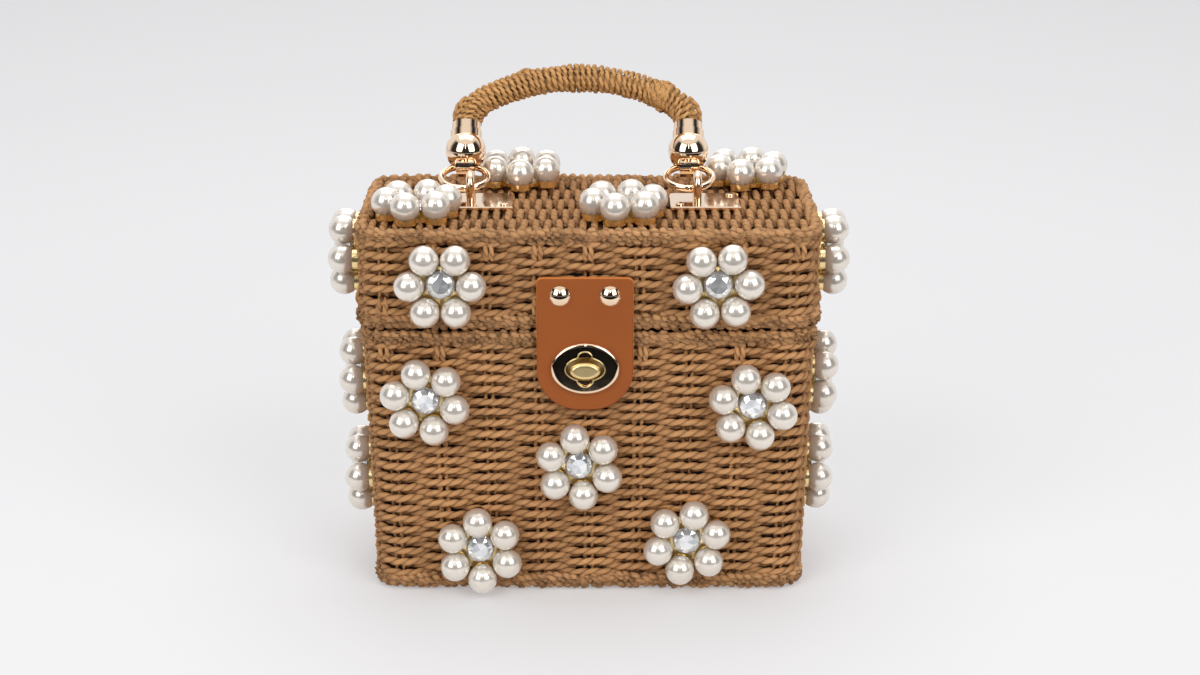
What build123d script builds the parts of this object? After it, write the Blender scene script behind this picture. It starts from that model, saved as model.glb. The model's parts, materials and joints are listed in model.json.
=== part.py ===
from build123d import *
from math import asin, atan2, cos, degrees, hypot, radians, sin
import os

# Woven box bag: a tapered body basket and a hinged lid basket, both edged with
# cord-wrapped rims, closed by a leather tab with a turn lock, carried by an
# arched handle on rings, and trimmed with pearl flowers.
# Millimetres. Origin at the centre of the base, +X to the right seen from the
# front, +Y to the back, +Z up.

# ---- driving dimensions: baskets ----
body_half_width_top = 98.0
body_half_width_bottom = 94.6
body_half_depth_bottom = 50.2
lid_half_width = 99.4
lid_half_depth = 52.5
body_height = 119.5
lid_height = 44.5
seam_gap = 0.3
wall = 5.0
corner_radius = 14.0
rim_height = 7.4
rim_thickness = 6.4
rim_overhang = 1.0
rim_edge_radius = 2.8
lid_panel_drop = 0.8
panel_step = 1.6
floor_gap = 0.35
panel_join = 0.4
seat_clearance = 0.05
overrun = 1.0

# ---- linings ----
lining = 0.8
lining_gap = 0.3
lining_margin = 3.5

# ---- hinge lashings ----
lashing_radius = 1.3
lashing_clearance = 0.3
lashing_places = (-58.0, 0.0, 58.0)
lid_opening_reach = 8.8

# ---- closure tab ----
tab_centre = -1.4
tab_width = 41.4
tab_top_rise = 24.6
tab_end_drop = 19.0
tab_crease_rise = 8.8
tab_thickness = 2.2
tab_top_corner = 2.5
tab_bottom_corner = 18.0
tab_gap = 0.9
tab_crease_gap = 0.3
rivet_spacing = 21.4
rivet_rise = 16.2
rivet_head_radius = 4.65
rivet_head_height = 2.3
rivet_shank_radius = 1.5
rivet_cap_radius = 4.0
rivet_cap_thickness = 1.0
rivet_edge = 0.2
pin_clearance = 0.05
hole_clearance = 0.2

# ---- turn lock ----
lock_drop = 15.1
face_half_width = 14.9
face_half_height = 11.5
face_thickness = 2.2
face_edge = 0.6
opening_half_width = 8.5
opening_half_height = 5.3
lobe_radius = 3.4
lobe_reach = 7.9
lobe_depth = 0.8
leather_opening_clearance = 0.4
back_plate_thickness = 0.7
back_plate_inset = 2.0
lock_base_half_width = 10.5
lock_base_half_height = 7.3
lock_base_thickness = 1.0
boss_radius = 3.6
boss_proud = 0.5
button_half_width = 6.5
button_half_height = 3.7
button_thickness = 3.2
button_gap = 0.2
spindle_radius = 1.5
spindle_clearance = 0.06
retainer_radius = 3.0
retainer_thickness = 0.8
retainer_gap = 0.3
retainer_room = 1.0
press_clearance = 0.01
prong_width = 3.0
prong_thickness = 0.8
prong_offset = 7.6
backing_radius = 11.0
backing_thickness = 0.8
backing_gap = 0.3

# ---- handle hardware ----
plate_width = 31.0
plate_shift = 3.5
plate_depth = 26.0
plate_thickness = 1.4
plate_corner = 1.5
plate_bevel = 0.5
plate_centre_y = -1.5
plate_screw_radius = 1.2
plate_screw_inset = 4.0
plate_screw_length = 7.5
plate_screw_head_radius = 2.0
plate_screw_head_height = 0.8
plate_screw_head_edge = 0.5
eye_centre_x = 50.0
eye_side_shift = -2.1
eye_wire_radius = 1.9
eye_hole_half_width = 2.4
eye_total_height = 13.3
eye_leg_end = 0.6
washer_radius = 3.6
washer_thickness = 0.8
ring_radius = 10.3
ring_wire_radius = 1.4
ring_shift = -3.2
ring_pivot_height = 5.5
ring_tilt = 15.0
handle_tilt = 53.0
lug_radius = 4.9
lug_width = 8.0
lug_hole_radius = 3.0
ball_radius = 9.1
ball_offset = 7.5
collar_step = 0.6
collar_top = 16.6
neck_wall = 0.55
neck_top = 20.6
socket_depth = 5.4
socket_clearance = 0.3
grip_core_radius = 5.65
wrap_thickness = 0.65
grip_gap = 0.1
leg_top = 18.5
grip_rise = 25.3
haunch_radius = 17.0

# ---- pearl flowers ----
pearl_radius = 6.5
pearl_spacing_gap = 0.2
pearl_lift = 0.9
cup_radius = 4.7
cup_height = 3.0
setting_web_radius = 10.5
setting_web_height = 1.6
stone_seat_radius = 5.0
stone_seat_height = 3.2
stone_base_radius = 4.7
stone_pearl_gap = 0.4
stone_girdle_height = 1.6
stone_table_radius = 3.8
stone_height = 3.6
stone_facets = 12
front_flower_drop = 0.45
side_flower_rise = 0.45

# ---- values that follow ----
# both rims share one hinge line at the back, so the mouths are equally deep
body_half_depth_top = lid_half_depth
seam = body_height
lid_bottom = seam + seam_gap
lid_top = lid_bottom + lid_height
lid_middle = lid_bottom + lid_height / 2
body_rim_bottom = body_height - rim_height
lid_wall_bottom = lid_bottom + rim_height
lid_wall_top = lid_top - rim_height
panel_top = lid_top - lid_panel_drop
body_floor = rim_height + panel_step
lid_ceiling = lid_wall_top - panel_step
tab_top = lid_bottom + tab_top_rise
tab_crease = lid_bottom + tab_crease_rise
rivet_height = lid_bottom + rivet_rise
lock_height = body_height - lock_drop
tab_bottom = lock_height - tab_end_drop
neck_radius = grip_core_radius + socket_clearance + neck_wall
collar_radius = neck_radius + collar_step
grip_radius = grip_core_radius + wrap_thickness
pearl_circle = 2 * pearl_radius + pearl_spacing_gap
pearl_centre_height = pearl_radius + pearl_lift
stone_radius = pearl_circle - pearl_radius - stone_pearl_gap
hinge_y = lid_half_depth + rim_overhang - rim_thickness / 2
hinge_z = lid_bottom + rim_height / 2
tab_back_y = -(lid_half_depth + rim_overhang + tab_gap)
tab_front_y = tab_back_y - tab_thickness
rivet_end_y = -(lid_half_depth - wall - lining_gap - lining) + rivet_cap_thickness


def body_half_width(z):
    """Outer half width of the body wall at a height."""
    share = z / body_height
    return body_half_width_bottom + (body_half_width_top - body_half_width_bottom) * share


def body_half_depth(z):
    """Outer half depth of the body wall at a height."""
    share = z / body_height
    return body_half_depth_bottom + (body_half_depth_top - body_half_depth_bottom) * share


def outline(half_width, half_depth, inset, z):
    """Rounded rectangle, set in from the wall's outer face, at a height."""
    radius = corner_radius - inset
    flat = RectangleRounded(2 * (half_width - inset), 2 * (half_depth - inset), radius)
    return Plane.XY.offset(z) * flat


def body_prism(inset, z_low, z_high):
    """Tapered block that follows the body wall, set in by a distance."""
    low = outline(body_half_width(z_low), body_half_depth(z_low), inset, z_low)
    high = outline(body_half_width(z_high), body_half_depth(z_high), inset, z_high)
    return loft([low, high])


def lid_prism(inset, z_low, z_high):
    """Straight block that follows the lid wall, set in by a distance."""
    return extrude(outline(lid_half_width, lid_half_depth, inset, z_low), z_high - z_low)


def rim(half_width, half_depth, z_low):
    """Closed band round a basket edge, with fully rounded edges."""
    outer = outline(half_width, half_depth, -rim_overhang, z_low)
    inner = outline(half_width, half_depth, rim_thickness - rim_overhang, z_low)
    band = extrude(outer - inner, rim_height)
    return fillet(band.edges(), rim_edge_radius)


def y_cylinder(radius, x, z, y_from, y_to):
    """Cylinder along Y between two depths."""
    disc = Plane((x, y_from, z), x_dir=(1, 0, 0), z_dir=(0, 1, 0)) * Circle(radius)
    return extrude(disc, y_to - y_from)


def lashing(x, lid_z, body_z):
    """Cord loop round the lid's and the body's back rims."""
    reach = hypot(rim_thickness / 2 - rim_edge_radius, rim_height / 2 - rim_edge_radius)
    radius = reach + rim_edge_radius + lashing_clearance + lashing_radius
    plane = Plane((x, hinge_y, (lid_z + body_z) / 2), x_dir=(0, 1, 0), z_dir=(1, 0, 0))
    path = (plane * SlotCenterToCenter(lid_z - body_z, 2 * radius, rotation=90)).face().outer_wire()
    start = plane.from_local_coords((radius, 0, 0))
    section = Plane(start, x_dir=(1, 0, 0), z_dir=(0, 0, 1)) * Circle(lashing_radius)
    return sweep(section, path=path)


# ---- hinge line and lashings ----
body_hinge_z = seam - rim_height / 2
lashings = [lashing(x, hinge_z, body_hinge_z) for x in lashing_places]
lashing_half_slot = lashing_radius + lashing_clearance


def lashing_slots(z_low, z_high):
    """Gaps in the back wall that the lashings pass through."""
    slots = []
    for x in lashing_places:
        slot = Box(2 * lashing_half_slot, 4 * wall, z_high - z_low)
        slots.append(Pos(x, hinge_y, (z_low + z_high) / 2) * slot)
    return slots


def rivet_places():
    """Rivet centres across the tab."""
    return [tab_centre - rivet_spacing / 2, tab_centre + rivet_spacing / 2]


# ---- lock depths, from the wall outwards ----
base_back_y = -body_half_depth(lock_height + lock_base_half_height) - seat_clearance
base_front_y = base_back_y - lock_base_thickness
face_front_y = tab_front_y - face_thickness
boss_front_y = face_front_y - boss_proud
button_back_y = boss_front_y - button_gap
spindle_end_y = base_back_y + retainer_gap + retainer_thickness
lining_inner_y = -(body_half_depth(lock_height) - wall - lining_gap - lining)
backing_y = lining_inner_y + backing_gap


# ---- baskets ----
def body_basket():
    """Woven body: tapered walls and a floor inside the bottom rim."""
    shell = body_prism(0, rim_height, body_rim_bottom)
    foot_inset = rim_thickness - rim_overhang + floor_gap
    shell += body_prism(foot_inset, 0, rim_height + panel_join)
    shell -= body_prism(wall, body_floor, body_height)
    for slot in lashing_slots(body_rim_bottom - 2 * lashing_half_slot, body_height):
        shell -= slot
    shell -= y_cylinder(retainer_radius + retainer_room, tab_centre, lock_height, -body_half_depth_top, 0)
    for side in (-1, 1):
        shell -= prong(side, hole_clearance)
    return shell


def lid_basket():
    """Woven lid: straight walls and a top panel inside the top rim."""
    shell = lid_prism(0, lid_wall_bottom, lid_wall_top)
    panel_inset = rim_thickness - rim_overhang + floor_gap
    shell += lid_prism(panel_inset, lid_wall_top - panel_join, panel_top)
    shell -= lid_prism(wall, lid_bottom, lid_ceiling)
    for slot in lashing_slots(lid_bottom, hinge_z + lid_opening_reach):
        shell -= slot
    for x in rivet_places():
        hole = rivet_shank_radius + hole_clearance
        shell -= y_cylinder(hole, x, rivet_height, -lid_half_depth - overrun, 0)
    for hole in plate_holes():
        shell -= hole
    return shell


def body_lining():
    """Fabric lining of the body, an open tray of thin cloth."""
    top = body_rim_bottom - lining_margin
    inset = wall + lining_gap
    tray = body_prism(inset, body_floor, top)
    tray -= body_prism(inset + lining, body_floor + lining, top + overrun)
    tray -= y_cylinder(retainer_radius + retainer_room, tab_centre, lock_height, -body_half_depth_top, 0)
    for side in (-1, 1):
        tray -= prong(side, hole_clearance)
    return tray


def lid_lining():
    """Fabric lining of the lid, an open tray turned down."""
    bottom = lid_wall_bottom + lining_margin
    inset = wall + lining_gap
    tray = lid_prism(inset, bottom, lid_ceiling)
    tray -= lid_prism(inset + lining, bottom - overrun, lid_ceiling - lining)
    for x in rivet_places():
        tray -= y_cylinder(rivet_shank_radius + hole_clearance, x, rivet_height, -lid_half_depth, 0)
    for hole in plate_holes():
        tray -= hole
    return tray


# ---- closure tab ----
def tab_profile(z_low, z_high, low_corner, high_corner):
    """Leather outline between two heights, extruded through its thickness."""
    centre = Plane((tab_centre, tab_back_y, (z_low + z_high) / 2), x_dir=(1, 0, 0), z_dir=(0, -1, 0))
    plate = extrude(centre * Rectangle(tab_width, z_high - z_low), tab_thickness)
    upright = plate.edges().filter_by(Axis.Y)
    plate = fillet(upright.group_by(Axis.Z)[0], low_corner) if low_corner else plate
    upright = plate.edges().filter_by(Axis.Y)
    return fillet(upright.group_by(Axis.Z)[-1], high_corner) if high_corner else plate


def tab_root():
    """Upper part of the leather, held to the lid by the rivets."""
    leather = tab_profile(tab_crease + tab_crease_gap, tab_top, 0, tab_top_corner)
    for x in rivet_places():
        leather -= y_cylinder(rivet_shank_radius + pin_clearance, x, rivet_height, tab_front_y - overrun, 0)
    return leather


def lock_opening(depth_from, depth_to, growth):
    """Oval way through the tab for the turn button."""
    plane = Plane((tab_centre, depth_from, lock_height), x_dir=(1, 0, 0), z_dir=(0, 1, 0))
    oval = Ellipse(opening_half_width + growth, opening_half_height + growth)
    return extrude(plane * oval, depth_to - depth_from)


def tab_flap():
    """Lower part of the leather, which swings out to free the button."""
    leather = tab_profile(tab_bottom, tab_crease - tab_crease_gap, tab_bottom_corner, 0)
    return leather - lock_opening(tab_front_y - overrun, tab_back_y + overrun, leather_opening_clearance)


def rivet(x):
    """Domed rivet with its shank."""
    shank = y_cylinder(rivet_shank_radius, x, rivet_height, tab_front_y, rivet_end_y)
    head = y_cylinder(rivet_head_radius, x, rivet_height, tab_front_y - rivet_head_height, tab_front_y)
    front = head.edges().sort_by(Axis.Y)[0]
    return fillet(front, rivet_head_height - rivet_edge) + shank


def rivet_cap(x):
    """Flat cap that closes a rivet inside the lid."""
    seat = rivet_end_y - rivet_cap_thickness
    cap = y_cylinder(rivet_cap_radius, x, rivet_height, seat, rivet_end_y)
    bore = rivet_shank_radius + pin_clearance
    return cap - y_cylinder(bore, x, rivet_height, seat - overrun, rivet_end_y + overrun)


# ---- turn lock ----
def lock_face():
    """Oval face plate with a raised edge, a wide opening and two lobes."""
    plane = Plane((tab_centre, tab_front_y, lock_height), x_dir=(1, 0, 0), z_dir=(0, -1, 0))
    plate = extrude(plane * Ellipse(face_half_width, face_half_height), face_thickness)
    plate = fillet(plate.edges().sort_by(Axis.Y)[0], face_thickness - face_edge)
    for side in (-1, 1):
        z = lock_height + side * (lobe_reach - lobe_radius)
        plate -= y_cylinder(lobe_radius, tab_centre, z, face_front_y - overrun, face_front_y + lobe_depth)
    return plate - lock_opening(face_front_y - overrun, tab_front_y + overrun, 0)


def lock_back_plate():
    """Thin oval that clamps the face plate behind the leather."""
    plane = Plane((tab_centre, tab_back_y, lock_height), x_dir=(1, 0, 0), z_dir=(0, 1, 0))
    oval = Ellipse(face_half_width - back_plate_inset, face_half_height - back_plate_inset)
    plate = extrude(plane * oval, back_plate_thickness)
    return plate - lock_opening(tab_back_y - overrun, tab_back_y + back_plate_thickness + overrun, 0)


def prong(side, growth):
    """Flat leg of the lock base that passes through the wall."""
    length = backing_y + backing_thickness - base_back_y
    leg = Box(prong_thickness + 2 * growth, length + 2 * growth, prong_width + 2 * growth)
    return Pos(tab_centre + side * prong_offset, base_back_y + length / 2, lock_height) * leg


def lock_base():
    """Oval base on the wall with the boss that carries the button."""
    plane = Plane((tab_centre, base_back_y, lock_height), x_dir=(1, 0, 0), z_dir=(0, -1, 0))
    base = extrude(plane * Ellipse(lock_base_half_width, lock_base_half_height), lock_base_thickness)
    base += y_cylinder(boss_radius, tab_centre, lock_height, boss_front_y, base_front_y)
    for side in (-1, 1):
        base += prong(side, 0)
    bore = spindle_radius + spindle_clearance
    return base - y_cylinder(bore, tab_centre, lock_height, boss_front_y - overrun, base_back_y + overrun)


def lock_backing():
    """Washer inside the bag that the base's legs fold over."""
    back = backing_y + backing_thickness
    room = retainer_radius + retainer_room
    washer = y_cylinder(backing_radius, tab_centre, lock_height, backing_y, back)
    washer -= y_cylinder(room, tab_centre, lock_height, backing_y - overrun, back + overrun)
    for side in (-1, 1):
        washer -= prong(side, pin_clearance)
    return washer


def turn_button():
    """Rounded bar with its spindle."""
    plane = Plane((tab_centre, button_back_y, lock_height), x_dir=(1, 0, 0), z_dir=(0, -1, 0))
    bar = extrude(plane * Ellipse(button_half_width, button_half_height), button_thickness)
    bar = fillet(bar.edges().sort_by(Axis.Y)[0], button_thickness / 2)
    return bar + y_cylinder(spindle_radius, tab_centre, lock_height, button_back_y, spindle_end_y)


def spindle_retainer():
    """Ring pressed on the spindle behind the base."""
    start = spindle_end_y - retainer_thickness
    ring = y_cylinder(retainer_radius, tab_centre, lock_height, start, spindle_end_y)
    bore = spindle_radius + press_clearance
    return ring - y_cylinder(bore, tab_centre, lock_height, start - overrun, spindle_end_y + overrun)


# ---- handle hardware on the lid ----
plate_top = panel_top + plate_thickness
pivot_z = plate_top + ring_pivot_height
pivot_y = plate_centre_y
ring_offset_angle = asin(abs(ring_shift) / ring_radius)
ring_centre_reach = ring_radius * cos(ring_offset_angle)
lug_reach = ring_centre_reach + ring_radius
lug_y = pivot_y + lug_reach * cos(radians(ring_tilt))
lug_z = pivot_z + lug_reach * sin(radians(ring_tilt))


def eye_x(side):
    """Place of one eye along the bag."""
    return side * eye_centre_x + eye_side_shift


def plate_x(side):
    """Centre of one plate along the bag."""
    return eye_x(side) + plate_shift


def leg_places():
    """The four eye legs as (x, y)."""
    reach = eye_hole_half_width + eye_wire_radius
    return [(eye_x(s), pivot_y + t * reach) for s in (-1, 1) for t in (-1, 1)]


def screw_places(side):
    """The two plate screws of one plate as (x, y)."""
    reach_x = plate_width / 2 - plate_screw_inset
    reach_y = plate_depth / 2 - plate_screw_inset
    return [(plate_x(side) + t * reach_x, plate_centre_y + side * t * reach_y) for t in (-1, 1)]


def plate_holes():
    """Holes through the lid panel for the eye legs and the plate screws."""
    depth = panel_top - lid_ceiling + 2 * lining
    place_z = panel_top - depth / 2 + lining / 2
    screws = screw_places(-1) + screw_places(1)
    leg_hole = Cylinder(eye_wire_radius + hole_clearance, depth)
    screw_hole = Cylinder(plate_screw_radius + hole_clearance, depth)
    holes = [Pos(x, y, place_z) * leg_hole for x, y in leg_places()]
    return holes + [Pos(x, y, place_z) * screw_hole for x, y in screws]


def eye(side):
    """Staple eye: a wire arch standing on two legs."""
    reach = eye_hole_half_width + eye_wire_radius
    arch_z = plate_top + eye_total_height - reach - eye_wire_radius
    leg_end = lid_ceiling - lining - washer_thickness - eye_leg_end
    arch = Plane((eye_x(side), pivot_y, arch_z), x_dir=(0, 1, 0), z_dir=(1, 0, 0))
    path = arch * CenterArc((0, 0), reach, 0, 180)
    section = Plane((eye_x(side), pivot_y + reach, arch_z)) * Circle(eye_wire_radius)
    wire = sweep(section, path=path)
    for t in (-1, 1):
        middle = Pos(eye_x(side), pivot_y + t * reach, (arch_z + leg_end) / 2)
        wire += middle * Cylinder(eye_wire_radius, arch_z - leg_end)
    return wire


def eye_plate(side):
    """Polished plate under one eye."""
    plate = Box(plate_width, plate_depth, plate_thickness)
    plate = Pos(plate_x(side), plate_centre_y, panel_top + plate_thickness / 2) * plate
    plate = fillet(plate.edges().filter_by(Axis.Z), plate_corner)
    plate = chamfer(plate.faces().sort_by(Axis.Z)[-1].edges(), plate_bevel)
    for x, y in leg_places():
        plate -= Pos(x, y, plate_top) * Cylinder(eye_wire_radius + pin_clearance, 4 * plate_thickness)
    for x, y in screw_places(side):
        plate -= Pos(x, y, plate_top) * Cylinder(plate_screw_radius + pin_clearance, 4 * plate_thickness)
    return plate


def plate_screw(x, y):
    """Small round-head fastener."""
    shank = Pos(x, y, plate_top - plate_screw_length / 2) * Cylinder(plate_screw_radius, plate_screw_length)
    head = Cylinder(plate_screw_head_radius, plate_screw_head_height)
    head = Pos(x, y, plate_top + plate_screw_head_height / 2) * head
    return fillet(head.edges().sort_by(Axis.Z)[-1], plate_screw_head_edge) + shank


def eye_clinch(x, y):
    """Washer that holds an eye leg under the lid."""
    place = Pos(x, y, lid_ceiling - lining - washer_thickness / 2)
    washer = Cylinder(washer_radius, washer_thickness)
    return place * (washer - Cylinder(eye_wire_radius + pin_clearance, 3 * washer_thickness))


def ring(side):
    """Closed wire ring that links an eye to the handle."""
    angle = radians(ring_tilt)
    centre_x = eye_x(side) + ring_shift
    centre_y = pivot_y + ring_centre_reach * cos(angle)
    centre_z = pivot_z + ring_centre_reach * sin(angle)
    normal = (0, -sin(angle), cos(angle))
    centre = Plane((centre_x, centre_y, centre_z), x_dir=(1, 0, 0), z_dir=normal)
    return centre * Torus(ring_radius, ring_wire_radius)


# ---- handle ----
handle_centre_x = eye_side_shift + ring_shift
leg_x = eye_centre_x
handle_plane = Plane(
    (handle_centre_x, lug_y, lug_z),
    x_dir=(1, 0, 0),
    z_dir=(0, -sin(radians(handle_tilt)), cos(radians(handle_tilt))),
)


def end_cap(side):
    """Ball end with a lug for the ring and a collar for the grip."""
    with_axis = handle_plane * Pos(side * leg_x, 0, 0)
    profile = Polyline((0, 0), (collar_radius, 0), (collar_radius, collar_top), (neck_radius, collar_top))
    profile += Polyline((neck_radius, collar_top), (neck_radius, neck_top), (0, neck_top), (0, 0))
    collar = revolve(make_face(profile), Axis.Y)
    above = Pos(0, ball_offset + neck_top, 0) * Box(4 * ball_radius, 2 * neck_top, 4 * ball_radius)
    cap = Pos(0, ball_offset, 0) * Sphere(ball_radius) + (collar & above)
    lug = Plane.YZ * Cylinder(lug_radius, lug_width)
    hole = Plane.YZ * Cylinder(lug_hole_radius, 6 * lug_width)
    socket = Pos(0, neck_top - socket_depth / 2, 0) * Rot(90, 0, 0)
    bore = socket * Cylinder(grip_core_radius + socket_clearance, socket_depth)
    return with_axis * (cap + lug - hole - bore)


def grip():
    """Cord-wrapped arch on a core: two short legs, two haunches and a flat crown."""
    start = neck_top - socket_depth + socket_clearance
    crown_radius = (
        ((leg_x - haunch_radius) ** 2 + grip_rise**2 - haunch_radius**2)
        / (2 * grip_rise - 2 * haunch_radius)
    )
    haunch_x = leg_x - haunch_radius
    lean = atan2(haunch_x, crown_radius - grip_rise)
    join_x = haunch_x + haunch_radius * sin(lean)
    join_y = leg_top + haunch_radius * cos(lean)
    mid_x = haunch_x + haunch_radius * cos((radians(90) - lean) / 2)
    mid_y = leg_top + haunch_radius * sin((radians(90) - lean) / 2)
    path = Line((-leg_x, start), (-leg_x, leg_top))
    path += ThreePointArc((-leg_x, leg_top), (-mid_x, mid_y), (-join_x, join_y))
    path += ThreePointArc((-join_x, join_y), (0, leg_top + grip_rise), (join_x, join_y))
    path += ThreePointArc((join_x, join_y), (mid_x, mid_y), (leg_x, leg_top))
    path += Line((leg_x, leg_top), (leg_x, start))
    section = Plane((-leg_x, start, 0), x_dir=(1, 0, 0), z_dir=(0, 1, 0))
    arch = Wire(path.edges())
    core = sweep(section * Circle(grip_core_radius), path=arch)
    wrapped = sweep(section * Circle(grip_radius), path=arch)
    sockets = Pos(0, neck_top + grip_gap - leg_top, 0) * Box(4 * leg_x, 2 * leg_top, 4 * grip_radius)
    return handle_plane * (core + (wrapped - sockets))


# ---- pearl flowers ----
def body_front(x, z, lift=0.0):
    """Plane on the body's front wall, facing out; a lift seats it on a rim."""
    slope = (body_half_depth_top - body_half_depth_bottom) / body_height
    return Plane((x, -body_half_depth(z) - lift, z), x_dir=(1, 0, 0), z_dir=(0, -1, -slope))


def body_side(side, y, z):
    """Plane on one of the body's side walls, facing out."""
    slope = (body_half_width_top - body_half_width_bottom) / body_height
    return Plane((side * body_half_width(z), y, z), x_dir=(0, side, 0), z_dir=(side, 0, -slope))


def lid_front(x, z):
    """Plane across the lid's front rims, facing out."""
    return Plane((x, -lid_half_depth - rim_seat, z), x_dir=(1, 0, 0), z_dir=(0, -1, 0))


def lid_side(side, y, z):
    """Plane across the lid's rims on one side, facing out."""
    return Plane((side * (lid_half_width + rim_seat), y, z), x_dir=(0, side, 0), z_dir=(side, 0, 0))


def lid_face(x, y, lift=0.0):
    """Plane on top of the lid, facing up; a lift seats it on the rim."""
    return Plane((x, y, panel_top + lift), x_dir=(1, 0, 0), z_dir=(0, 0, 1))


rim_seat = rim_overhang + seat_clearance
top_rim_seat = lid_panel_drop + seat_clearance

# name: (plane, turn of the first pearl in degrees)
flowers = {
    "body_front": [
        (body_front(-70.0, 89.8), 106.0),
        (body_front(70.5, 87.6), 104.0),
        (body_front(-4.1, 60.2), 98.0),
        (body_front(-47.4, 21.6, rim_seat), 94.0),
        (body_front(42.9, 25.0), 77.0),
    ],
    "lid_front": [
        (lid_front(-62.5, lid_middle - front_flower_drop), 60.0),
        (lid_front(55.0, lid_middle - front_flower_drop), 64.0),
    ],
    "lid_top": [
        (lid_face(-74.0, -27.7), 72.0),
        (lid_face(15.0, -27.7), 74.0),
        (lid_face(-31.0, 34.0, top_rim_seat), 90.0),
        (lid_face(71.5, 34.0, top_rim_seat), 76.0),
    ],
    "lid_left": [(lid_side(-1, -5.0, lid_middle + side_flower_rise), 60.0)],
    "lid_right": [(lid_side(1, -5.0, lid_middle + side_flower_rise), 60.0)],
    "body_left": [(body_side(-1, -5.0, 87.0), 60.0), (body_side(-1, -5.0, 41.0), 60.0)],
    "body_right": [(body_side(1, -5.0, 86.5), 90.0), (body_side(1, -5.0, 42.0), 64.0)],
}


def pearl_angles(turn):
    """Directions of the six pearls of a flower."""
    return [turn + 60 * step for step in range(6)]


def pearl_spot(turn):
    """Pearl centre in the flower's own frame."""
    return Pos(pearl_circle * cos(radians(turn)), pearl_circle * sin(radians(turn)), pearl_centre_height)


def setting(plane, turn):
    """Cast metal back with six cups and a raised seat for the stone."""
    back = Pos(0, 0, setting_web_height / 2) * Cylinder(setting_web_radius, setting_web_height)
    back += Pos(0, 0, stone_seat_height / 2) * Cylinder(stone_seat_radius, stone_seat_height)
    for angle in pearl_angles(turn):
        x = pearl_circle * cos(radians(angle))
        y = pearl_circle * sin(radians(angle))
        back += Pos(x, y, cup_height / 2) * Cylinder(cup_radius, cup_height)
    for angle in pearl_angles(turn):
        back -= pearl_spot(angle) * Sphere(pearl_radius + seat_clearance)
    return plane * back


def stone(plane):
    """Faceted crystal on the seat in the middle of a flower."""
    base = stone_seat_height + seat_clearance
    girdle = base + stone_girdle_height
    lower = loft([
        Plane.XY.offset(base) * RegularPolygon(stone_base_radius, stone_facets),
        Plane.XY.offset(girdle) * RegularPolygon(stone_radius, stone_facets),
    ])
    upper = loft([
        Plane.XY.offset(girdle) * RegularPolygon(stone_radius, stone_facets),
        Plane.XY.offset(base + stone_height) * RegularPolygon(stone_table_radius, stone_facets),
    ])
    return plane * (lower + upper)


# ---- all pieces by name; a list holds like pieces that share a name ----
pieces = {
    "body_basket": body_basket(),
    "body_top_rim": rim(body_half_width(body_height), body_half_depth(body_height), body_rim_bottom),
    "body_bottom_rim": rim(body_half_width(0), body_half_depth(0), 0),
    "body_lining": body_lining(),
    "hinge_lashings": lashings,
    "lid_basket": lid_basket(),
    "lid_top_rim": rim(lid_half_width, lid_half_depth, lid_wall_top),
    "lid_bottom_rim": rim(lid_half_width, lid_half_depth, lid_bottom),
    "lid_lining": lid_lining(),
    "tab_root": tab_root(),
    "tab_flap": tab_flap(),
    "tab_rivets": [rivet(x) for x in rivet_places()],
    "tab_rivet_caps": [rivet_cap(x) for x in rivet_places()],
    "lock_face_plate": lock_face(),
    "lock_back_plate": lock_back_plate(),
    "lock_base": lock_base(),
    "lock_backing_washer": lock_backing(),
    "turn_button": turn_button(),
    "spindle_retainer": spindle_retainer(),
    "eye_plate_left": eye_plate(-1),
    "eye_plate_right": eye_plate(1),
    "plate_screws": [plate_screw(x, y) for side in (-1, 1) for x, y in screw_places(side)],
    "eye_left": eye(-1),
    "eye_right": eye(1),
    "eye_washers": [eye_clinch(x, y) for x, y in leg_places()],
    "ring_left": ring(-1),
    "ring_right": ring(1),
    "end_cap_left": end_cap(-1),
    "end_cap_right": end_cap(1),
    "handle_grip": grip(),
}
for place, group in flowers.items():
    for number, (plane, turn) in enumerate(group, start=1):
        pieces[f"flower_setting_{place}_{number}"] = setting(plane, turn)
    pieces[f"pearls_{place}"] = [
        plane * pearl_spot(angle) * Sphere(pearl_radius)
        for plane, turn in group
        for angle in pearl_angles(turn)
    ]
for basket in ("body", "lid"):
    planes = [plane for place, group in flowers.items() if place.startswith(basket) for plane, turn in group]
    pieces[f"crystals_{basket}"] = [stone(plane) for plane in planes]

os.makedirs("parts", exist_ok=True)
for name, shape in pieces.items():
    solids = [item.solid() for item in shape] if isinstance(shape, list) else [shape.solid()]
    export_step(Compound(children=solids) if len(solids) > 1 else solids[0], f"parts/{name}.step")

print("pivot of the rings", round(pivot_y, 3), round(pivot_z, 3))
print("pivot of the handle", round(lug_y, 3), round(lug_z, 3))
print("lid hinge", round(hinge_y, 3), round(hinge_z, 3))
print("tab crease", round(tab_front_y, 3), tab_crease)
print("ring lean at the eye", round(degrees(ring_offset_angle), 2))
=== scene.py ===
"""Looks of a woven box bag: twisted-cord weave, wrapped rims, leather tab, pearls and polished fittings."""

import json
import math

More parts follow.
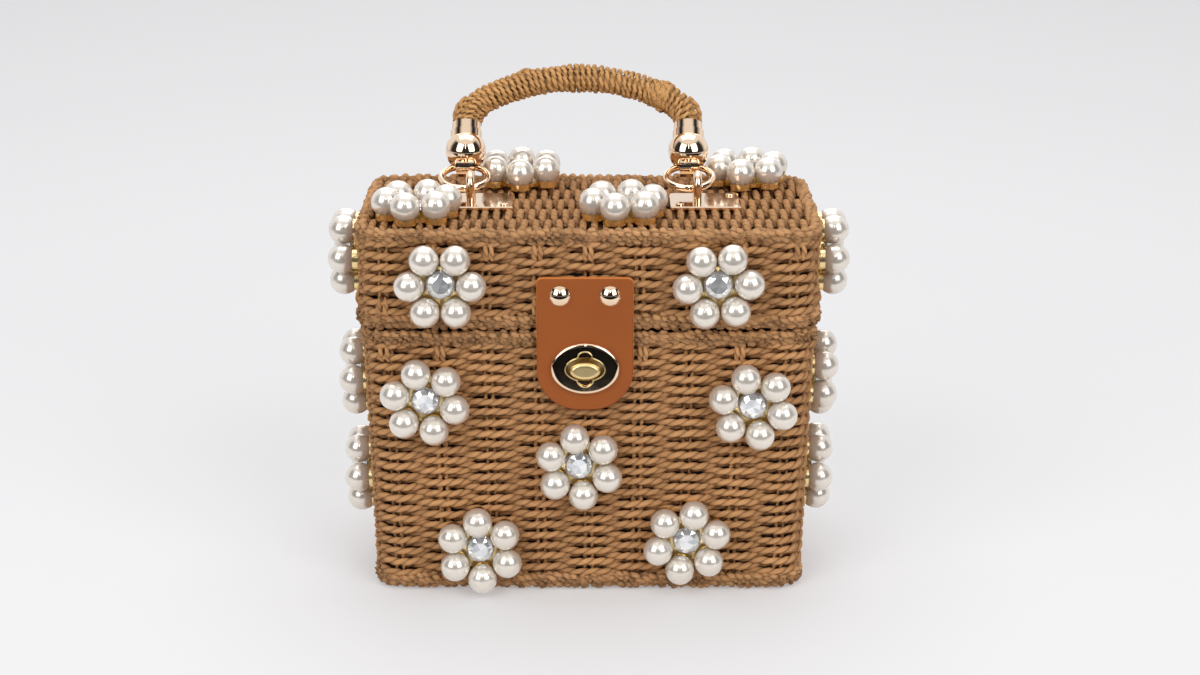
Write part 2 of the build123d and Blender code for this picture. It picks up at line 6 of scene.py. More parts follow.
import bpy
import numpy as np
from bpy.props import FloatProperty, FloatVectorProperty, PointerProperty
from bpy.types import Operator, Panel, PropertyGroup
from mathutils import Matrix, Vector


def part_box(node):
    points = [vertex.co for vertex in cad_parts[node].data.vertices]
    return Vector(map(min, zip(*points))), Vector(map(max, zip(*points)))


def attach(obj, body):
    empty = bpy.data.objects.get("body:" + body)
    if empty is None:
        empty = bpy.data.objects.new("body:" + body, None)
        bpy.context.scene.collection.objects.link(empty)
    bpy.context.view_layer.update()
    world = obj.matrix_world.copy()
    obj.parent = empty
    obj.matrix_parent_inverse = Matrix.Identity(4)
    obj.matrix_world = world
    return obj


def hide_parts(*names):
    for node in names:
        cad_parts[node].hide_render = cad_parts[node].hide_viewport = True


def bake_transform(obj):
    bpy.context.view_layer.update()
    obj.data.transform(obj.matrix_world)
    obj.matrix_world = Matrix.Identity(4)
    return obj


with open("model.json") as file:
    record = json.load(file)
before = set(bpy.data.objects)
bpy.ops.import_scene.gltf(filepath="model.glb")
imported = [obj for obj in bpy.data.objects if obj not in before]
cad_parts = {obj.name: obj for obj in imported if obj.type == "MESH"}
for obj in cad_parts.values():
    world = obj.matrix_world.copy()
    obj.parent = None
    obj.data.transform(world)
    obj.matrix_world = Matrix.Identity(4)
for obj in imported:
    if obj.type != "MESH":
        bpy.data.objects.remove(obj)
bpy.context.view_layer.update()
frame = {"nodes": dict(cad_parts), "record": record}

bl_info = {
    "name": "Woven Box Bag",
    "version": (1, 0, 0),
    "blender": (4, 5, 0),
    "location": "3D View > Sidebar > Box Bag",
    "description": "Dresses the box bag's frame with woven cord, leather, pearls and metal",
    "category": "Object",
}

MM = 0.001
TURN = 2 * math.pi

# sizes shared with the frame, in metres
RIM_OVERHANG = 1.0 * MM
RIM_THICKNESS = 6.4 * MM
CORNER_RADIUS = 14.0 * MM
PANEL_DROP = 0.8 * MM
HANDLE_TILT = math.radians(53.0)
GRIP_RADIUS = 6.3 * MM
GRIP_START = 15.5 * MM
NECK_TOP = 20.6 * MM
LEG_TOP = 18.5 * MM
GRIP_RISE = 25.3 * MM
HAUNCH_RADIUS = 17.0 * MM
TAB_BOTTOM_CORNER = 18.0 * MM
TAB_TOP_CORNER = 2.5 * MM
PEARL_RADIUS = 6.5 * MM

# sizes of the scene's own cords and cloth
PLY_COLUMNS = 8
GRIP_CORE_RADIUS = 5.2 * MM
ROW_STEP = 1.75 * MM
ROW_DEPTH = 2.72 * MM
WALL_SWING = 1.62 * MM
PANEL_SWING = 1.5 * MM
WEAVE_DEPTH = 2.5 * MM
STAKE_RADIUS = 1.35 * MM
STAKE_LAY = 9.0 * MM
TIE_RADIUS = 1.3 * MM
TIE_LAY = 8.0 * MM
LINING_INSET = 6.0 * MM


def box(node):
    """Lowest and highest corner of a CAD node as arrays."""
    low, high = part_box(node)
    return np.array(low), np.array(high)


def joint(name):
    """One joint of the frame by name."""
    return next(item for item in frame["record"]["behaviour"]["joints"] if item["name"] == name)


# ---- shader maths


def operation(name, swapped=False):
    """An operator that adds a Math node; the swapped form has the socket on the right."""

    def apply(self, other):
        return self.math(name, other, self) if swapped else self.math(name, self, other)

    return apply


class Socket:
    """An output socket whose arithmetic adds Math nodes."""

    __add__, __radd__ = operation("ADD"), operation("ADD", swapped=True)
    __sub__, __rsub__ = operation("SUBTRACT"), operation("SUBTRACT", swapped=True)
    __mul__, __rmul__ = operation("MULTIPLY"), operation("MULTIPLY", swapped=True)
    __pow__ = operation("POWER")

    def __init__(self, tree, out):
        self.tree = tree
        self.out = out

    def math(self, kind, first, second=0.0):
        """Adds one Math node for two values or sockets."""
        node = self.tree.nodes.new("ShaderNodeMath")
        node.operation = kind
        plug(self.tree, node.inputs[0], first)
        plug(self.tree, node.inputs[1], second)
        return Socket(self.tree, node.outputs[0])

    def cos(self):
        return self.math("COSINE", self)

    def __abs__(self):
        return self.math("ABSOLUTE", self)


def plug(tree, slot, value):
    """Links a Socket or sets a plain value."""
    if isinstance(value, Socket):
        tree.links.new(value.out, slot)
    else:
        slot.default_value = value


class Shader:
    """A node tree with one way to add nodes."""

    def __init__(self, tree):
        self.tree = tree

    def node(self, kind, settings=None, inputs=None, output=0):
        """Adds a node: settings first, then socket values or links by name or number."""
        node = self.tree.nodes.new(kind)
        for key, value in (settings or {}).items():
            if key == "stops":
                ramp = node.color_ramp
                for index, (place, colour) in enumerate(value):
                    stop = ramp.elements[index] if index < 2 else ramp.elements.new(place)
                    stop.position = place
                    stop.color = colour
            else:
                setattr(node, key, value)
        for key, value in (inputs or {}).items():
            plug(self.tree, node.inputs[key], value)
        return Socket(self.tree, node.outputs[output])

    def mix(self, factor, first, second, blend="MIX"):
        """Mixes two colours."""
        settings = {"data_type": "RGBA", "blend_type": blend}
        return self.node("ShaderNodeMix", settings, {0: factor, 6: first, 7: second}, output=2)

    def noise(self, scale, detail=2.0, vector=None, roughness=0.5):
        """Noise value from object coordinates, or from a given vector."""
        where = vector or self.node("ShaderNodeTexCoord", output="Object")
        values = {"Vector": where, "Scale": scale, "Detail": detail, "Roughness": roughness}
        return self.node("ShaderNodeTexNoise", None, values)

    def tone(self):
        """The tone that a piece's mesh carries at each point; on the cords it holds painted light and shade
        as well, on the crystals painted reflections.
        """
        return self.node("ShaderNodeAttribute", {"attribute_name": "tone"}, output="Fac")


class Finish(Shader):
    """A material with one Principled shader."""

    def __init__(self, name, **values):
        self.material = bpy.data.materials.new(name)
        self.material.use_nodes = True
        super().__init__(self.material.node_tree)
        self.shader = self.tree.nodes["Principled BSDF"]
        self.set(**values)

    def set(self, **values):
        """Sets or links the shader's sockets."""
        for key, value in values.items():
            plug(self.tree, self.shader.inputs[key.replace("_", " ")], value)
        return self

    def bump(self, height, strength, distance):
        """Feeds a height into the shader's normal."""
        values = {"Height": height, "Strength": strength, "Distance": distance}
        return self.set(Normal=self.node("ShaderNodeBump", None, values))


def rgba(colour, share=1.0):
    """A colour with full alpha, made lighter or darker by a share."""
    return tuple(min(1.0, part * share) for part in colour[:3]) + (1.0,)


def cord_finish(name, colour):
    """Matt paper cord: fine strands along each ply, and painted shade darkening the grooves between plies.
    """
    finish = Finish(name, Roughness=0.78)
    coords = finish.node("ShaderNodeTexCoord", output="UV")
    around = finish.node("ShaderNodeSeparateXYZ", None, {0: coords}, output="X")
    stretched = finish.node("ShaderNodeMapping", None, {"Vector": coords, "Scale": (26.0, 0.22, 1.0)})
    strands = finish.noise(1.0, 3.0, stretched, 0.6)
    crumple = finish.noise(900.0, 2.0)
    patches = finish.noise(28.0, 3.0)
    lobes = abs((around * TURN).cos())
    # painted shade in the grooves between the plies, strongest where two lobes meet
    groove_shade = (1.0 - lobes) ** 2.6
    light = finish.mix(patches, rgba(colour, 0.80), rgba(colour, 1.22))
    # low tone mixes the cord towards a dark multiplied copy: the tone holds random variation, painted shade
    # on cords lying behind others, and painted light and shade on the rim wraps
    toned_with_painted_shade = finish.mix(finish.tone(), finish.mix(1.0, light, rgba((0.40, 0.36, 0.32)), "MULTIPLY"), light)
    stops = [(0.30, (0.66, 0.62, 0.58, 1.0)), (0.62, (1.06, 1.05, 1.04, 1.0))]
    fibre = finish.node("ShaderNodeValToRGB", {"stops": stops}, {0: strands})
    streaked = finish.mix(0.8, toned_with_painted_shade, fibre, "MULTIPLY")
    shaded = finish.mix(groove_shade * 0.75, streaked, rgba(colour, 0.16))
    finish.set(Base_Color=shaded, Roughness=0.66 + strands * 0.22, Specular_IOR_Level=0.3)
    return finish.bump(lobes * 0.7 + strands * 0.5 + crumple * 0.16, 0.8, 0.6 * MM).material


def pearl_finish(colour):
    """Coated pearl: off-white and half mirror-like, warmer in places."""
    finish = Finish("pearl_coat", Coat_Weight=0.8, Coat_Roughness=0.05, Metallic=0.55)
    drift = finish.noise(60.0, 1.0)
    nacre = finish.mix(drift, rgba(colour, 0.97), rgba((0.87, 0.82, 0.75)))
    fine = finish.noise(420.0, 2.0)
    return finish.set(Base_Color=nacre, Roughness=0.20 + fine * 0.04).material


def metal_finish(name, colour, roughness):
    """Polished plated metal with faint handling marks."""
    finish = Finish(name, Metallic=1.0)
    marks = finish.noise(260.0, 4.0)
    smears = finish.noise(45.0, 2.0)
    plated = finish.mix(smears, rgba(colour, 0.94), rgba(colour, 1.04))
    finish.set(Base_Color=plated, Roughness=roughness + marks * 0.05)
    return finish.bump(marks, 0.04, 0.05 * MM).material


def crystal_finish():
    """Foil-backed cut stone: painted reflections, with random facets painted bright or dark."""
    finish = Finish("foil_crystal", Metallic=0.6, Roughness=0.03, Coat_Weight=1.0, Coat_Roughness=0.0)
    # painted reflections: the tone, random for each triangle, makes a facet bright or dark
    facets = finish.mix(finish.tone(), rgba((0.50, 0.53, 0.56)), rgba((0.98, 0.99, 1.0)))
    return finish.set(Base_Color=facets).material


def leather_finish(colour, edge_colour):
    """Smooth tanned leather with a fine grain and a painted edge."""
    finish = Finish("tan_leather", Coat_Weight=0.06, Coat_Roughness=0.35, Specular_IOR_Level=0.28)
    grain = finish.node("ShaderNodeTexVoronoi", {"feature": "F1"}, {"Scale": 1300.0})
    cloud = finish.noise(38.0, 3.0)
    pores = finish.noise(1600.0, 2.0)
    hide = finish.mix(cloud, rgba(colour, 0.84), rgba(colour, 1.14))
    painted = finish.mix(finish.tone(), hide, rgba(edge_colour))
    finish.set(Base_Color=painted, Roughness=0.40 + cloud * 0.14)
    return finish.bump(grain * 0.5 + pores * 0.4, 0.22, 0.12 * MM).material


def lining_finish(colour):
    """Dark plain-woven cloth."""
    finish = Finish("dark_lining", Roughness=0.9)
    coords = finish.node("ShaderNodeTexCoord", output="Object")
    weft = finish.node("ShaderNodeTexWave", {"bands_direction": "Z"}, {"Vector": coords, "Scale": 420.0})
    slanted = {"bands_direction": "DIAGONAL"}
    warp = finish.node("ShaderNodeTexWave", slanted, {"Vector": coords, "Scale": 300.0})
    cloud = finish.noise(22.0, 3.0)
    finish.set(Base_Color=finish.mix(cloud, rgba(colour, 0.7), rgba(colour, 1.6)))
    return finish.bump(weft * 0.5 + warp * 0.5, 0.35, 0.2 * MM).material


def floor_finish(colour):
    """Pale matt studio floor."""
    finish = Finish("studio_floor", Roughness=0.62, Specular_IOR_Level=0.2)
    cloud = finish.noise(1.5, 2.0)
    finish.set(Base_Color=finish.mix(cloud, rgba(colour, 0.99), rgba(colour, 1.01)))
    return finish.set(Emission_Color=rgba((1.0, 0.995, 1.01)), Emission_Strength=0.30).material


def card_finish():
    """Black studio card."""
    finish = Finish("black_card", Roughness=0.9, Specular_IOR_Level=0.0)
    cloud = finish.noise(2.0, 1.0)
    black = finish.mix(cloud, rgba((0.004, 0.004, 0.004)), rgba((0.008, 0.008, 0.008)))
    return finish.set(Base_Color=black).material


def studio_world():
    """Pale room: for reflections, bright behind and above the bag and dark in front of it."""
    world = bpy.data.worlds.new("studio")
    world.use_nodes = True
    room = Shader(world.node_tree)
    way = room.node("ShaderNodeTexCoord", output="Generated")
    bright = 0.0
    for axis, start, end in (("Y", -0.05, 0.35), ("Z", 0.70, 0.82)):
        part = room.node("ShaderNodeSeparateXYZ", None, {0: way}, output=axis)
        values = {"Value": part, "From Min": start, "From Max": end}
        bright = bright + room.node("ShaderNodeMapRange", None, values)
    mirrored = room.mix(bright, rgba((0.03, 0.03, 0.032)), rgba((0.86, 0.85, 0.86)))
    glossy = room.node("ShaderNodeLightPath", output="Is Glossy Ray")
    seen = room.node("ShaderNodeLightPath", output="Is Camera Ray")
    fill = room.mix(seen, rgba((0.34, 0.34, 0.355)), rgba((0.80, 0.80, 0.81)))
    background = world.node_tree.nodes["Background"]
    plug(world.node_tree, background.inputs["Color"], room.mix(glossy, fill, mirrored))
    return world


# ---- mesh helpers


def grid_faces(rows, columns, first=0, closed=False):
    """Quads between rings of points; closed joins the last ring to the first one."""
    faces = []
    for row in range(rows if closed else rows - 1):
        near, far = first + row * columns, first + (row + 1) % rows * columns
        for k in range(columns):
            after = (k + 1) % columns
            faces.append((near + k, near + after, far + after, far + k))
    return faces


class CordBatch:
    """Many twisted cords gathered into one mesh."""

    def __init__(self):
        self.points = []
        self.quads = []
        self.uvs = []
        self.tones = []
        self.count = 0

    def add(self, path, outward, radius, lay=10.0 * MM, closed=False, squash=(1.0, 1.0), tone=0.5, turn=0.0):
        """Sweeps a two-ply profile along a path; outward is a side direction at each point."""
        steps = len(path)
        onward = np.roll(path, -1, axis=0)
        ahead = onward - np.roll(path, 1, axis=0)
        if not closed:
            ahead[0] = path[1] - path[0]
            ahead[-1] = path[-1] - path[-2]
        ahead /= np.linalg.norm(ahead, axis=1)[:, None]
        side = outward - ahead * np.sum(outward * ahead, axis=1)[:, None]
        side /= np.linalg.norm(side, axis=1)[:, None]
        run = np.concatenate([[0.0], np.cumsum(np.linalg.norm(onward - path, axis=1))])
        whole = run[-1] if closed else run[-2]
        turns = max(1, round(whole / lay)) if closed else whole / lay
        column = np.arange(PLY_COLUMNS)
        lobe = radius * (0.66 + 0.34 * np.abs(np.cos(column * TURN / PLY_COLUMNS)) ** 1.2)
        angle = turn - TURN * turns * run[:steps] / whole
        spin = (angle[:, None] + column * TURN / PLY_COLUMNS)[..., None]
        reach = np.cos(spin) * side[:, None] * squash[0]
        reach = reach + np.sin(spin) * np.cross(ahead, side)[:, None] * squash[1]
        self.points.append((path[:, None] + reach * lobe[:, None]).reshape(-1, 3))
        row = np.arange(steps if closed else steps - 1)[:, None]
        near, far = row * PLY_COLUMNS, (row + 1) % steps * PLY_COLUMNS
        beside = (column + 1) % PLY_COLUMNS
        quads = np.stack([near + column, far + column, far + beside, near + beside], axis=-1)
        start = self.count
        self.quads.append(start + quads.reshape(-1, 4))
        left, right = column / PLY_COLUMNS, (column + 1) / PLY_COLUMNS
        low, high = run[row] / MM, run[row + 1] / MM
        corners = [(left, low), (left, high), (right, high), (right, low)]
        uv = np.stack([np.stack(np.broadcast_arrays(*corner), axis=-1) for corner in corners], axis=2)
        level = float(np.mean(tone))
        self.uvs.append((uv + np.array([0.0, 170.0 * level])).reshape(-1, 2))
        self.tones.append(np.repeat(np.broadcast_to(tone, steps), PLY_COLUMNS))
        self.count += steps * PLY_COLUMNS
        if not closed:
            for ring in (0, steps - 1):
                self.close_end(start + ring * PLY_COLUMNS, path[ring], ring == 0, level)

    def close_end(self, first, centre, opening, tone):
        """Fans a cord's end shut."""
        hub = self.count
        self.points.append(centre[None, :])
        self.tones.append(np.array([tone]))
        self.count += 1
        for column in range(0, PLY_COLUMNS, 2):
            a, b, c = (first + (column + k) % PLY_COLUMNS for k in range(3))
            self.quads.append(np.array([(hub, a, b, c) if opening else (hub, c, b, a)]))
            self.uvs.append(np.full((4, 2), 0.1))

    def build(self, name, material):
        """Makes one object of all the cords."""
        parts = (np.concatenate(part) for part in (self.points, self.quads, self.uvs, self.tones))
        points, quads, uvs, tones = parts
        return mesh_object(name, points, quads, material, uvs, tones)


def mesh_object(name, points, faces, material, uvs=None, tones=None, smooth=True):
    """A mesh object from arrays, with optional UVs and a tone for each point."""
    mesh = bpy.data.meshes.new(name)
    mesh.from_pydata([tuple(point) for point in points], [], [tuple(int(i) for i in face) for face in faces])
    if uvs is not None:
        layer = mesh.uv_layers.new(name="cord")
        layer.data.foreach_set("uv", np.asarray(uvs, dtype=np.float32).ravel())
    if tones is not None:
        tone = mesh.attributes.new("tone", "FLOAT", "POINT")
        tone.data.foreach_set("value", np.asarray(tones, dtype=np.float32))
    mesh.polygons.foreach_set("use_smooth", np.full(len(mesh.polygons), smooth))
    mesh.materials.append(material)
    mesh.update()
    made = bpy.data.objects.new(name, mesh)
    bpy.context.scene.collection.objects.link(made)
    return made


class Outline:
    """Rounded rectangle walked by distance, starting at the middle of the front."""

    def __init__(self, half_width, half_depth, radius):
        self.half_depth = half_depth
        self.radius = radius
        self.flat_x = 2 * (half_width - radius)
        self.flat_y = 2 * (half_depth - radius)
        self.bend = math.pi / 2 * radius
        self.length = 2 * self.flat_x + 2 * self.flat_y + 4 * self.bend

    def walk(self, distance):
        """Flat points and outward normals at distances along the outline."""
        place = np.mod(distance + self.flat_x / 2, self.length)
        spots = np.zeros(place.shape + (2,))
        normals = np.zeros(place.shape + (2,))
        start = 0.0
        corner = np.array([-self.flat_x / 2, -self.half_depth])
        for quarter in range(4):
            heading = quarter * math.pi / 2
            way = np.array([math.cos(heading), math.sin(heading)])
            out = np.array([math.sin(heading), -math.cos(heading)])
            flat = self.flat_y if quarter % 2 else self.flat_x
            inside = (place >= start) & (place <= start + flat)
            spots[inside] = corner + np.outer(place[inside] - start, way)
            normals[inside] = out
            start += flat
            centre = corner + way * flat - out * self.radius
            inside = (place >= start) & (place <= start + self.bend)
            turned = heading + (place[inside] - start) / self.radius
            normals[inside] = np.stack([np.sin(turned), -np.cos(turned)], axis=-1)
            spots[inside] = centre + normals[inside] * self.radius
            start += self.bend
            corner = centre + way * self.radius
        return spots, normals

    def ring(self, share, inset, z):
        """3-D points at shares of the way round, set in from the outline, and their normals."""
        spots, normals = self.walk(share * self.length)
        count = len(spots)
        inset = np.broadcast_to(inset, count)[:, None]
        points = np.column_stack([spots - normals * inset, np.broadcast_to(z, count)])
        return points, np.column_stack([normals, np.zeros(count)])


class Wall:
    """A woven wall between two heights, following the frame's taper."""

    def __init__(self, low_half, high_half, z_low, z_high):
        self.low_half = np.array(low_half)
        self.high_half = np.array(high_half)
        self.z_low = z_low
        self.z_high = z_high

    def half(self, z):
        """Half width and half depth at a height."""
        share = (z - self.z_low) / (self.z_high - self.z_low)
        return self.low_half + (self.high_half - self.low_half) * share

    def line(self, z):
        """Middle line of the weave at a height."""
        return Outline(*(self.half(z) - WEAVE_DEPTH), CORNER_RADIUS - WEAVE_DEPTH)

    def place(self, share, z, inset):
        """Points and normals at shares of the way round; inset is measured in from the outer face."""
        return self.line(z).ring(share, inset - WEAVE_DEPTH, z)

    def upright(self, share, shift, heights, insets):
        """Points and normals of a cord that goes up the wall, shifted sideways."""
        spots = []
        for z, inset in zip(heights, insets):
            spots.append(self.place(np.array([share + shift / self.line(z).length]), z, inset))
        return (np.concatenate([spot[part] for spot in spots]) for part in (0, 1))

    def row_heights(self, pitch):
        """Heights of the woven rows, a little past both rims."""
        rows = int((self.z_high - self.z_low + 3.0 * MM) / pitch)
        return self.z_low - 1.0 * MM + pitch * (0.5 + np.arange(rows))

    def panel_half(self):
        """Half sizes of the flat weave inside a rim."""
        return self.half(self.z_low) - RIM_THICKNESS + RIM_OVERHANG + 1.0 * MM


# ---- settings


def length(title, text, default):
    """A size that a user can change."""
    return FloatProperty(name=title, description=text, default=default, unit="LENGTH")


def paint(title, text, default):
    """A colour that a user can change."""
    return FloatVectorProperty(name=title, description=text, default=default, subtype="COLOR")


class BoxBagWeave(PropertyGroup):
    """Sizes and colours of the cords."""

    cord_radius: length("Cord radius", "Radius of the woven cord", 1.78 * MM)
    row_pitch: length("Row pitch", "Height of one woven row", 2.5 * MM)
    stake_spacing: length("Stake spacing", "Gap between stakes", 21.8 * MM)
    wrap_pitch: length("Wrap pitch", "Width of one turn on a rim", 3.8 * MM)
    wall_colour: paint("Wall cord", "Colour of the wall cord", (0.62, 0.325, 0.135))
    rim_colour: paint("Rim cord", "Colour of the rim cord", (0.66, 0.36, 0.160))
    grip_colour: paint("Grip cord", "Colour of the handle cord", (0.80, 0.44, 0.165))


class BoxBagTrim(PropertyGroup):
    """Colours of the trim."""

    leather_colour: paint("Leather", "Colour of the tab", (0.30, 0.075, 0.010))
    edge_colour: paint("Leather edge", "Colour of the tab's painted edge", (0.62, 0.20, 0.04))
    metal_colour: paint("Metal", "Colour of the fittings", (0.97, 0.74, 0.53))
    setting_colour: paint("Settings", "Colour of the flower backs", (1.0, 0.76, 0.38))
    pearl_colour: paint("Pearls", "Colour of the pearls", (0.80, 0.72, 0.62))
    lining_colour: paint("Lining", "Colour of the lining", (0.022, 0.016, 0.02))
    floor_colour: paint("Floor", "Colour of the floor", (0.55, 0.548, 0.552))


# ---- weave


def flat_crests(wave):
    """A cosine wave from -1 to 1 with its crests flattened, as a cord lies over a stake."""
    return np.tanh(1.5 * wave) / math.tanh(1.5)


def weave_rows(batch, wall, settings, z_values, rng, wander):
    """Closed rows of cord round a wall; each passes in front of one stake and behind the next."""
    girth = Outline(*wall.half(wall.z_low), CORNER_RADIUS).length
    stakes = 2 * round(girth / settings.stake_spacing / 2)
    samples = int(girth / ROW_STEP)
    share = np.arange(samples) / samples
    for row, z in enumerate(z_values):
        phase = rng.uniform(0, TURN, 3)
        drift = sum(np.sin(TURN * share * k + phase[k - 3]) for k in (3, 4, 5)) / 3
        ripple = np.sin(TURN * share * 29 + phase[0]) * 0.4
        front = flat_crests(np.cos(math.pi * stakes * share + math.pi * row))
        inset = ROW_DEPTH - front * WALL_SWING + rng.normal(0, 0.06 * MM)
        points, sides = wall.place(share, z, inset)
        points[:, 2] += (drift + ripple) * wander
        radius = settings.cord_radius * rng.uniform(0.95, 1.05)
        lay = rng.uniform(9.2, 11.5) * MM
        # random tone times painted shade: a row is darker where it passes behind a stake
        tone = rng.uniform(0.75, 1.0) * (0.55 + 0.45 * front)
        batch.add(points, sides, radius, lay, closed=True, squash=(0.92, 1.0), tone=tone, turn=phase[1])
    return stakes


def stake_pairs(batch, wall, stakes, rng, reach):
    """Upright cord pairs that the rows pass over and under."""
    count = 2 + int((wall.z_high - wall.z_low) / (5 * MM))
    heights = np.linspace(wall.z_low - reach, wall.z_high + reach, count)
    insets = np.full(count, 2.55 * MM)
    for stake in range(stakes):
        for shift in (-1.55 * MM, 1.55 * MM):
            points, sides = wall.upright(stake / stakes, shift, heights, insets)
            # low random tone: painted shade on the stakes, which show only in the gaps behind the rows
            tone = rng.uniform(0.3, 0.7)
            batch.add(points, sides, STAKE_RADIUS, STAKE_LAY, tone=tone, turn=rng.uniform(0, TURN))


def panel_weave(batch, half, z_face, inward, settings, rng, step=1.9 * MM):
    """Flat weave of a panel: cords front to back over pairs of stakes that run along X."""
    count = int(2 * (half[0] - 1.0 * MM) / settings.row_pitch)
    along = np.linspace(-half[1], half[1], int(2 * half[1] / step))
    crossings = np.linspace(-0.76, 0.76, 5) * half[1]
    gap = crossings[1] - crossings[0]
    up = np.array([0.0, 0.0, -float(inward)])
    for index in range(count):
        x = (index - (count - 1) / 2) * settings.row_pitch
        corner = max(0.0, abs(x) - (half[0] - CORNER_RADIUS * 0.55))
        crest = flat_crests(np.cos(math.pi * (along - crossings[0]) / gap + math.pi * index))
        depth = ROW_DEPTH - crest * PANEL_SWING + rng.normal(0, 0.05 * MM)
        keep = np.abs(along) <= half[1] - corner * 0.6
        wander = np.sin(along / half[1] * 5 + rng.uniform(0, TURN)) * 0.25 * MM
        points = np.stack([x + wander, along, z_face + inward * depth], axis=-1)[keep]
        radius = settings.cord_radius * rng.uniform(0.94, 1.04)
        lay = rng.uniform(9.0, 11.5) * MM
        # random tone times painted shade: a cord is darker where it passes under a stake pair
        tone = (rng.uniform(0.75, 1.0) * (0.55 + 0.45 * crest))[keep]
        batch.add(points, np.tile(up, (len(points), 1)), radius, lay, tone=tone, turn=rng.uniform(0, TURN))
    # the stake pairs lie under the cords and get a low tone: painted shade
    across = np.linspace(-half[0], half[0], 60)
    level = np.full(60, z_face + inward * 2.9 * MM)
    for y in crossings:
        for shift in (-1.5 * MM, 1.5 * MM):
            points = np.column_stack([across, np.full(60, y + shift), level])
            batch.add(points, np.tile(up, (60, 1)), TIE_RADIUS, STAKE_LAY, tone=0.3)


def rim_ties(batch, wall, stakes, z_edge, downward, rng):
    """Short two-strand ties from a rim over the first rows, at about two stakes in three."""
    share = np.linspace(0, 1, 9)
    heights = z_edge + downward * (-1.5 + 8.2 * share) * MM
    insets = (2.6 - 3.1 * np.sin(math.pi * share) ** 0.7) * MM
    for stake in range(stakes):
        if rng.uniform() < 0.35:
            continue
        nudge = rng.uniform(-2.0, 2.0) * MM
        for shift in (-1.2 * MM, 1.2 * MM):
            points, sides = wall.upright(stake / stakes, shift + nudge, heights, insets)
            batch.add(points, sides, TIE_RADIUS, TIE_LAY, tone=rng.uniform(0.5, 1.0))


def eased(values, repeat):
    """One value for each turn of a winding, blended from turn to turn."""
    held = np.repeat(values, repeat)
    half = repeat // 2
    span = 2 * half + 1
    return np.convolve(np.concatenate([held[-half:], held, held[:half]]), np.ones(span) / span, "valid")


def rim_line(half_outer):
    """Middle line of a rim whose outer half sizes are given."""
    inset = RIM_THICKNESS / 2
    return Outline(half_outer[0] - inset, half_outer[1] - inset, CORNER_RADIUS + RIM_OVERHANG - inset)


def rim_wraps(batch, half_outer, z_low, z_high, settings, rng):
    """Helix of cord wound round a rim, turn beside turn, each turn leaning."""
    line = rim_line(half_outer)
    turns = round(line.length / settings.wrap_pitch)
    per_turn = 12
    steps = turns * per_turn
    progress = np.arange(steps) / steps
    swell = 1.0 + eased(rng.normal(0, 0.13, turns), per_turn)
    sway = eased(rng.normal(0, 0.36, turns), per_turn) / turns
    angle = -TURN * turns * progress
    rise, push = np.sin(angle), np.cos(angle)
    cord_inset = 1.35 * MM
    depth = (RIM_THICKNESS / 2 - cord_inset) * swell
    height = ((z_high - z_low) / 2 - cord_inset) * swell
    lean = -0.75 * rise * height
    share = progress + sway + lean / line.length
    points, normals = line.ring(share, -push * depth, (z_low + z_high) / 2 + rise * height)
    sides = normals * push[:, None] + np.outer(rise, [0.0, 0.0, 1.0])
    # random tone from turn to turn, plus painted light and shade: each turn is lighter over the top of the
    # rim and darker under it; one ring of points in each turn, at its outer middle, is made a quarter darker
    tone = 0.62 + 0.25 * rise + eased(rng.normal(0, 0.14, turns), per_turn)
    tone = np.clip(tone - 0.25 * (np.arange(steps) % per_turn == 0), 0, 1)
    batch.add(points, sides, 1.76 * MM, 5.6 * MM, closed=True, squash=(1.08, 1.02), tone=tone)


def rim_core(name, half_outer, z_low, z_high, material):
    """Plain core under the wraps, so no light passes through a rim."""
    batch = CordBatch()
    points, sides = rim_line(half_outer).ring(np.arange(240) / 240, 0.0, (z_low + z_high) / 2)
    batch.add(points, sides, 2.7 * MM, 60 * MM, closed=True, squash=(0.85, 1.28), tone=0.4)
    return batch.build(name, material)


# ---- operators


def cord_material(part):
    """The cord material of the wall, the rim or the grip, made once."""
    name = f"twisted_{part}_cord"
    colour = getattr(bpy.context.scene.box_bag_weave, f"{part}_colour")
    return bpy.data.materials.get(name) or cord_finish(name, colour)


class BagOperator:
    """What all the bag's operators share."""

    bl_options = {"REGISTER", "UNDO"}

    @property
    def weave(self):
        return bpy.context.scene.box_bag_weave

    @property
    def trim(self):
        return bpy.context.scene.box_bag_trim


def rim_reach(node):
    """Half sizes of the wall at a rim, and the rim's top."""
    high = box(node)[1]
    return high[:2] - RIM_OVERHANG, high[2]


def body_wall():
    """The body's wall from the frame's rims."""
    bottom_half, base_height = rim_reach("body_bottom_rim")
    top_half, top_height = rim_reach("body_top_rim")
    share = base_height / top_height
    low_half = bottom_half + (top_half - bottom_half) * share
    return Wall(low_half, top_half, base_height, box("body_top_rim")[0][2])


def lid_wall():
    """The lid's wall from the frame's rims."""
    half, height = rim_reach("lid_bottom_rim")
    return Wall(half, half, height, box("lid_top_rim")[0][2])


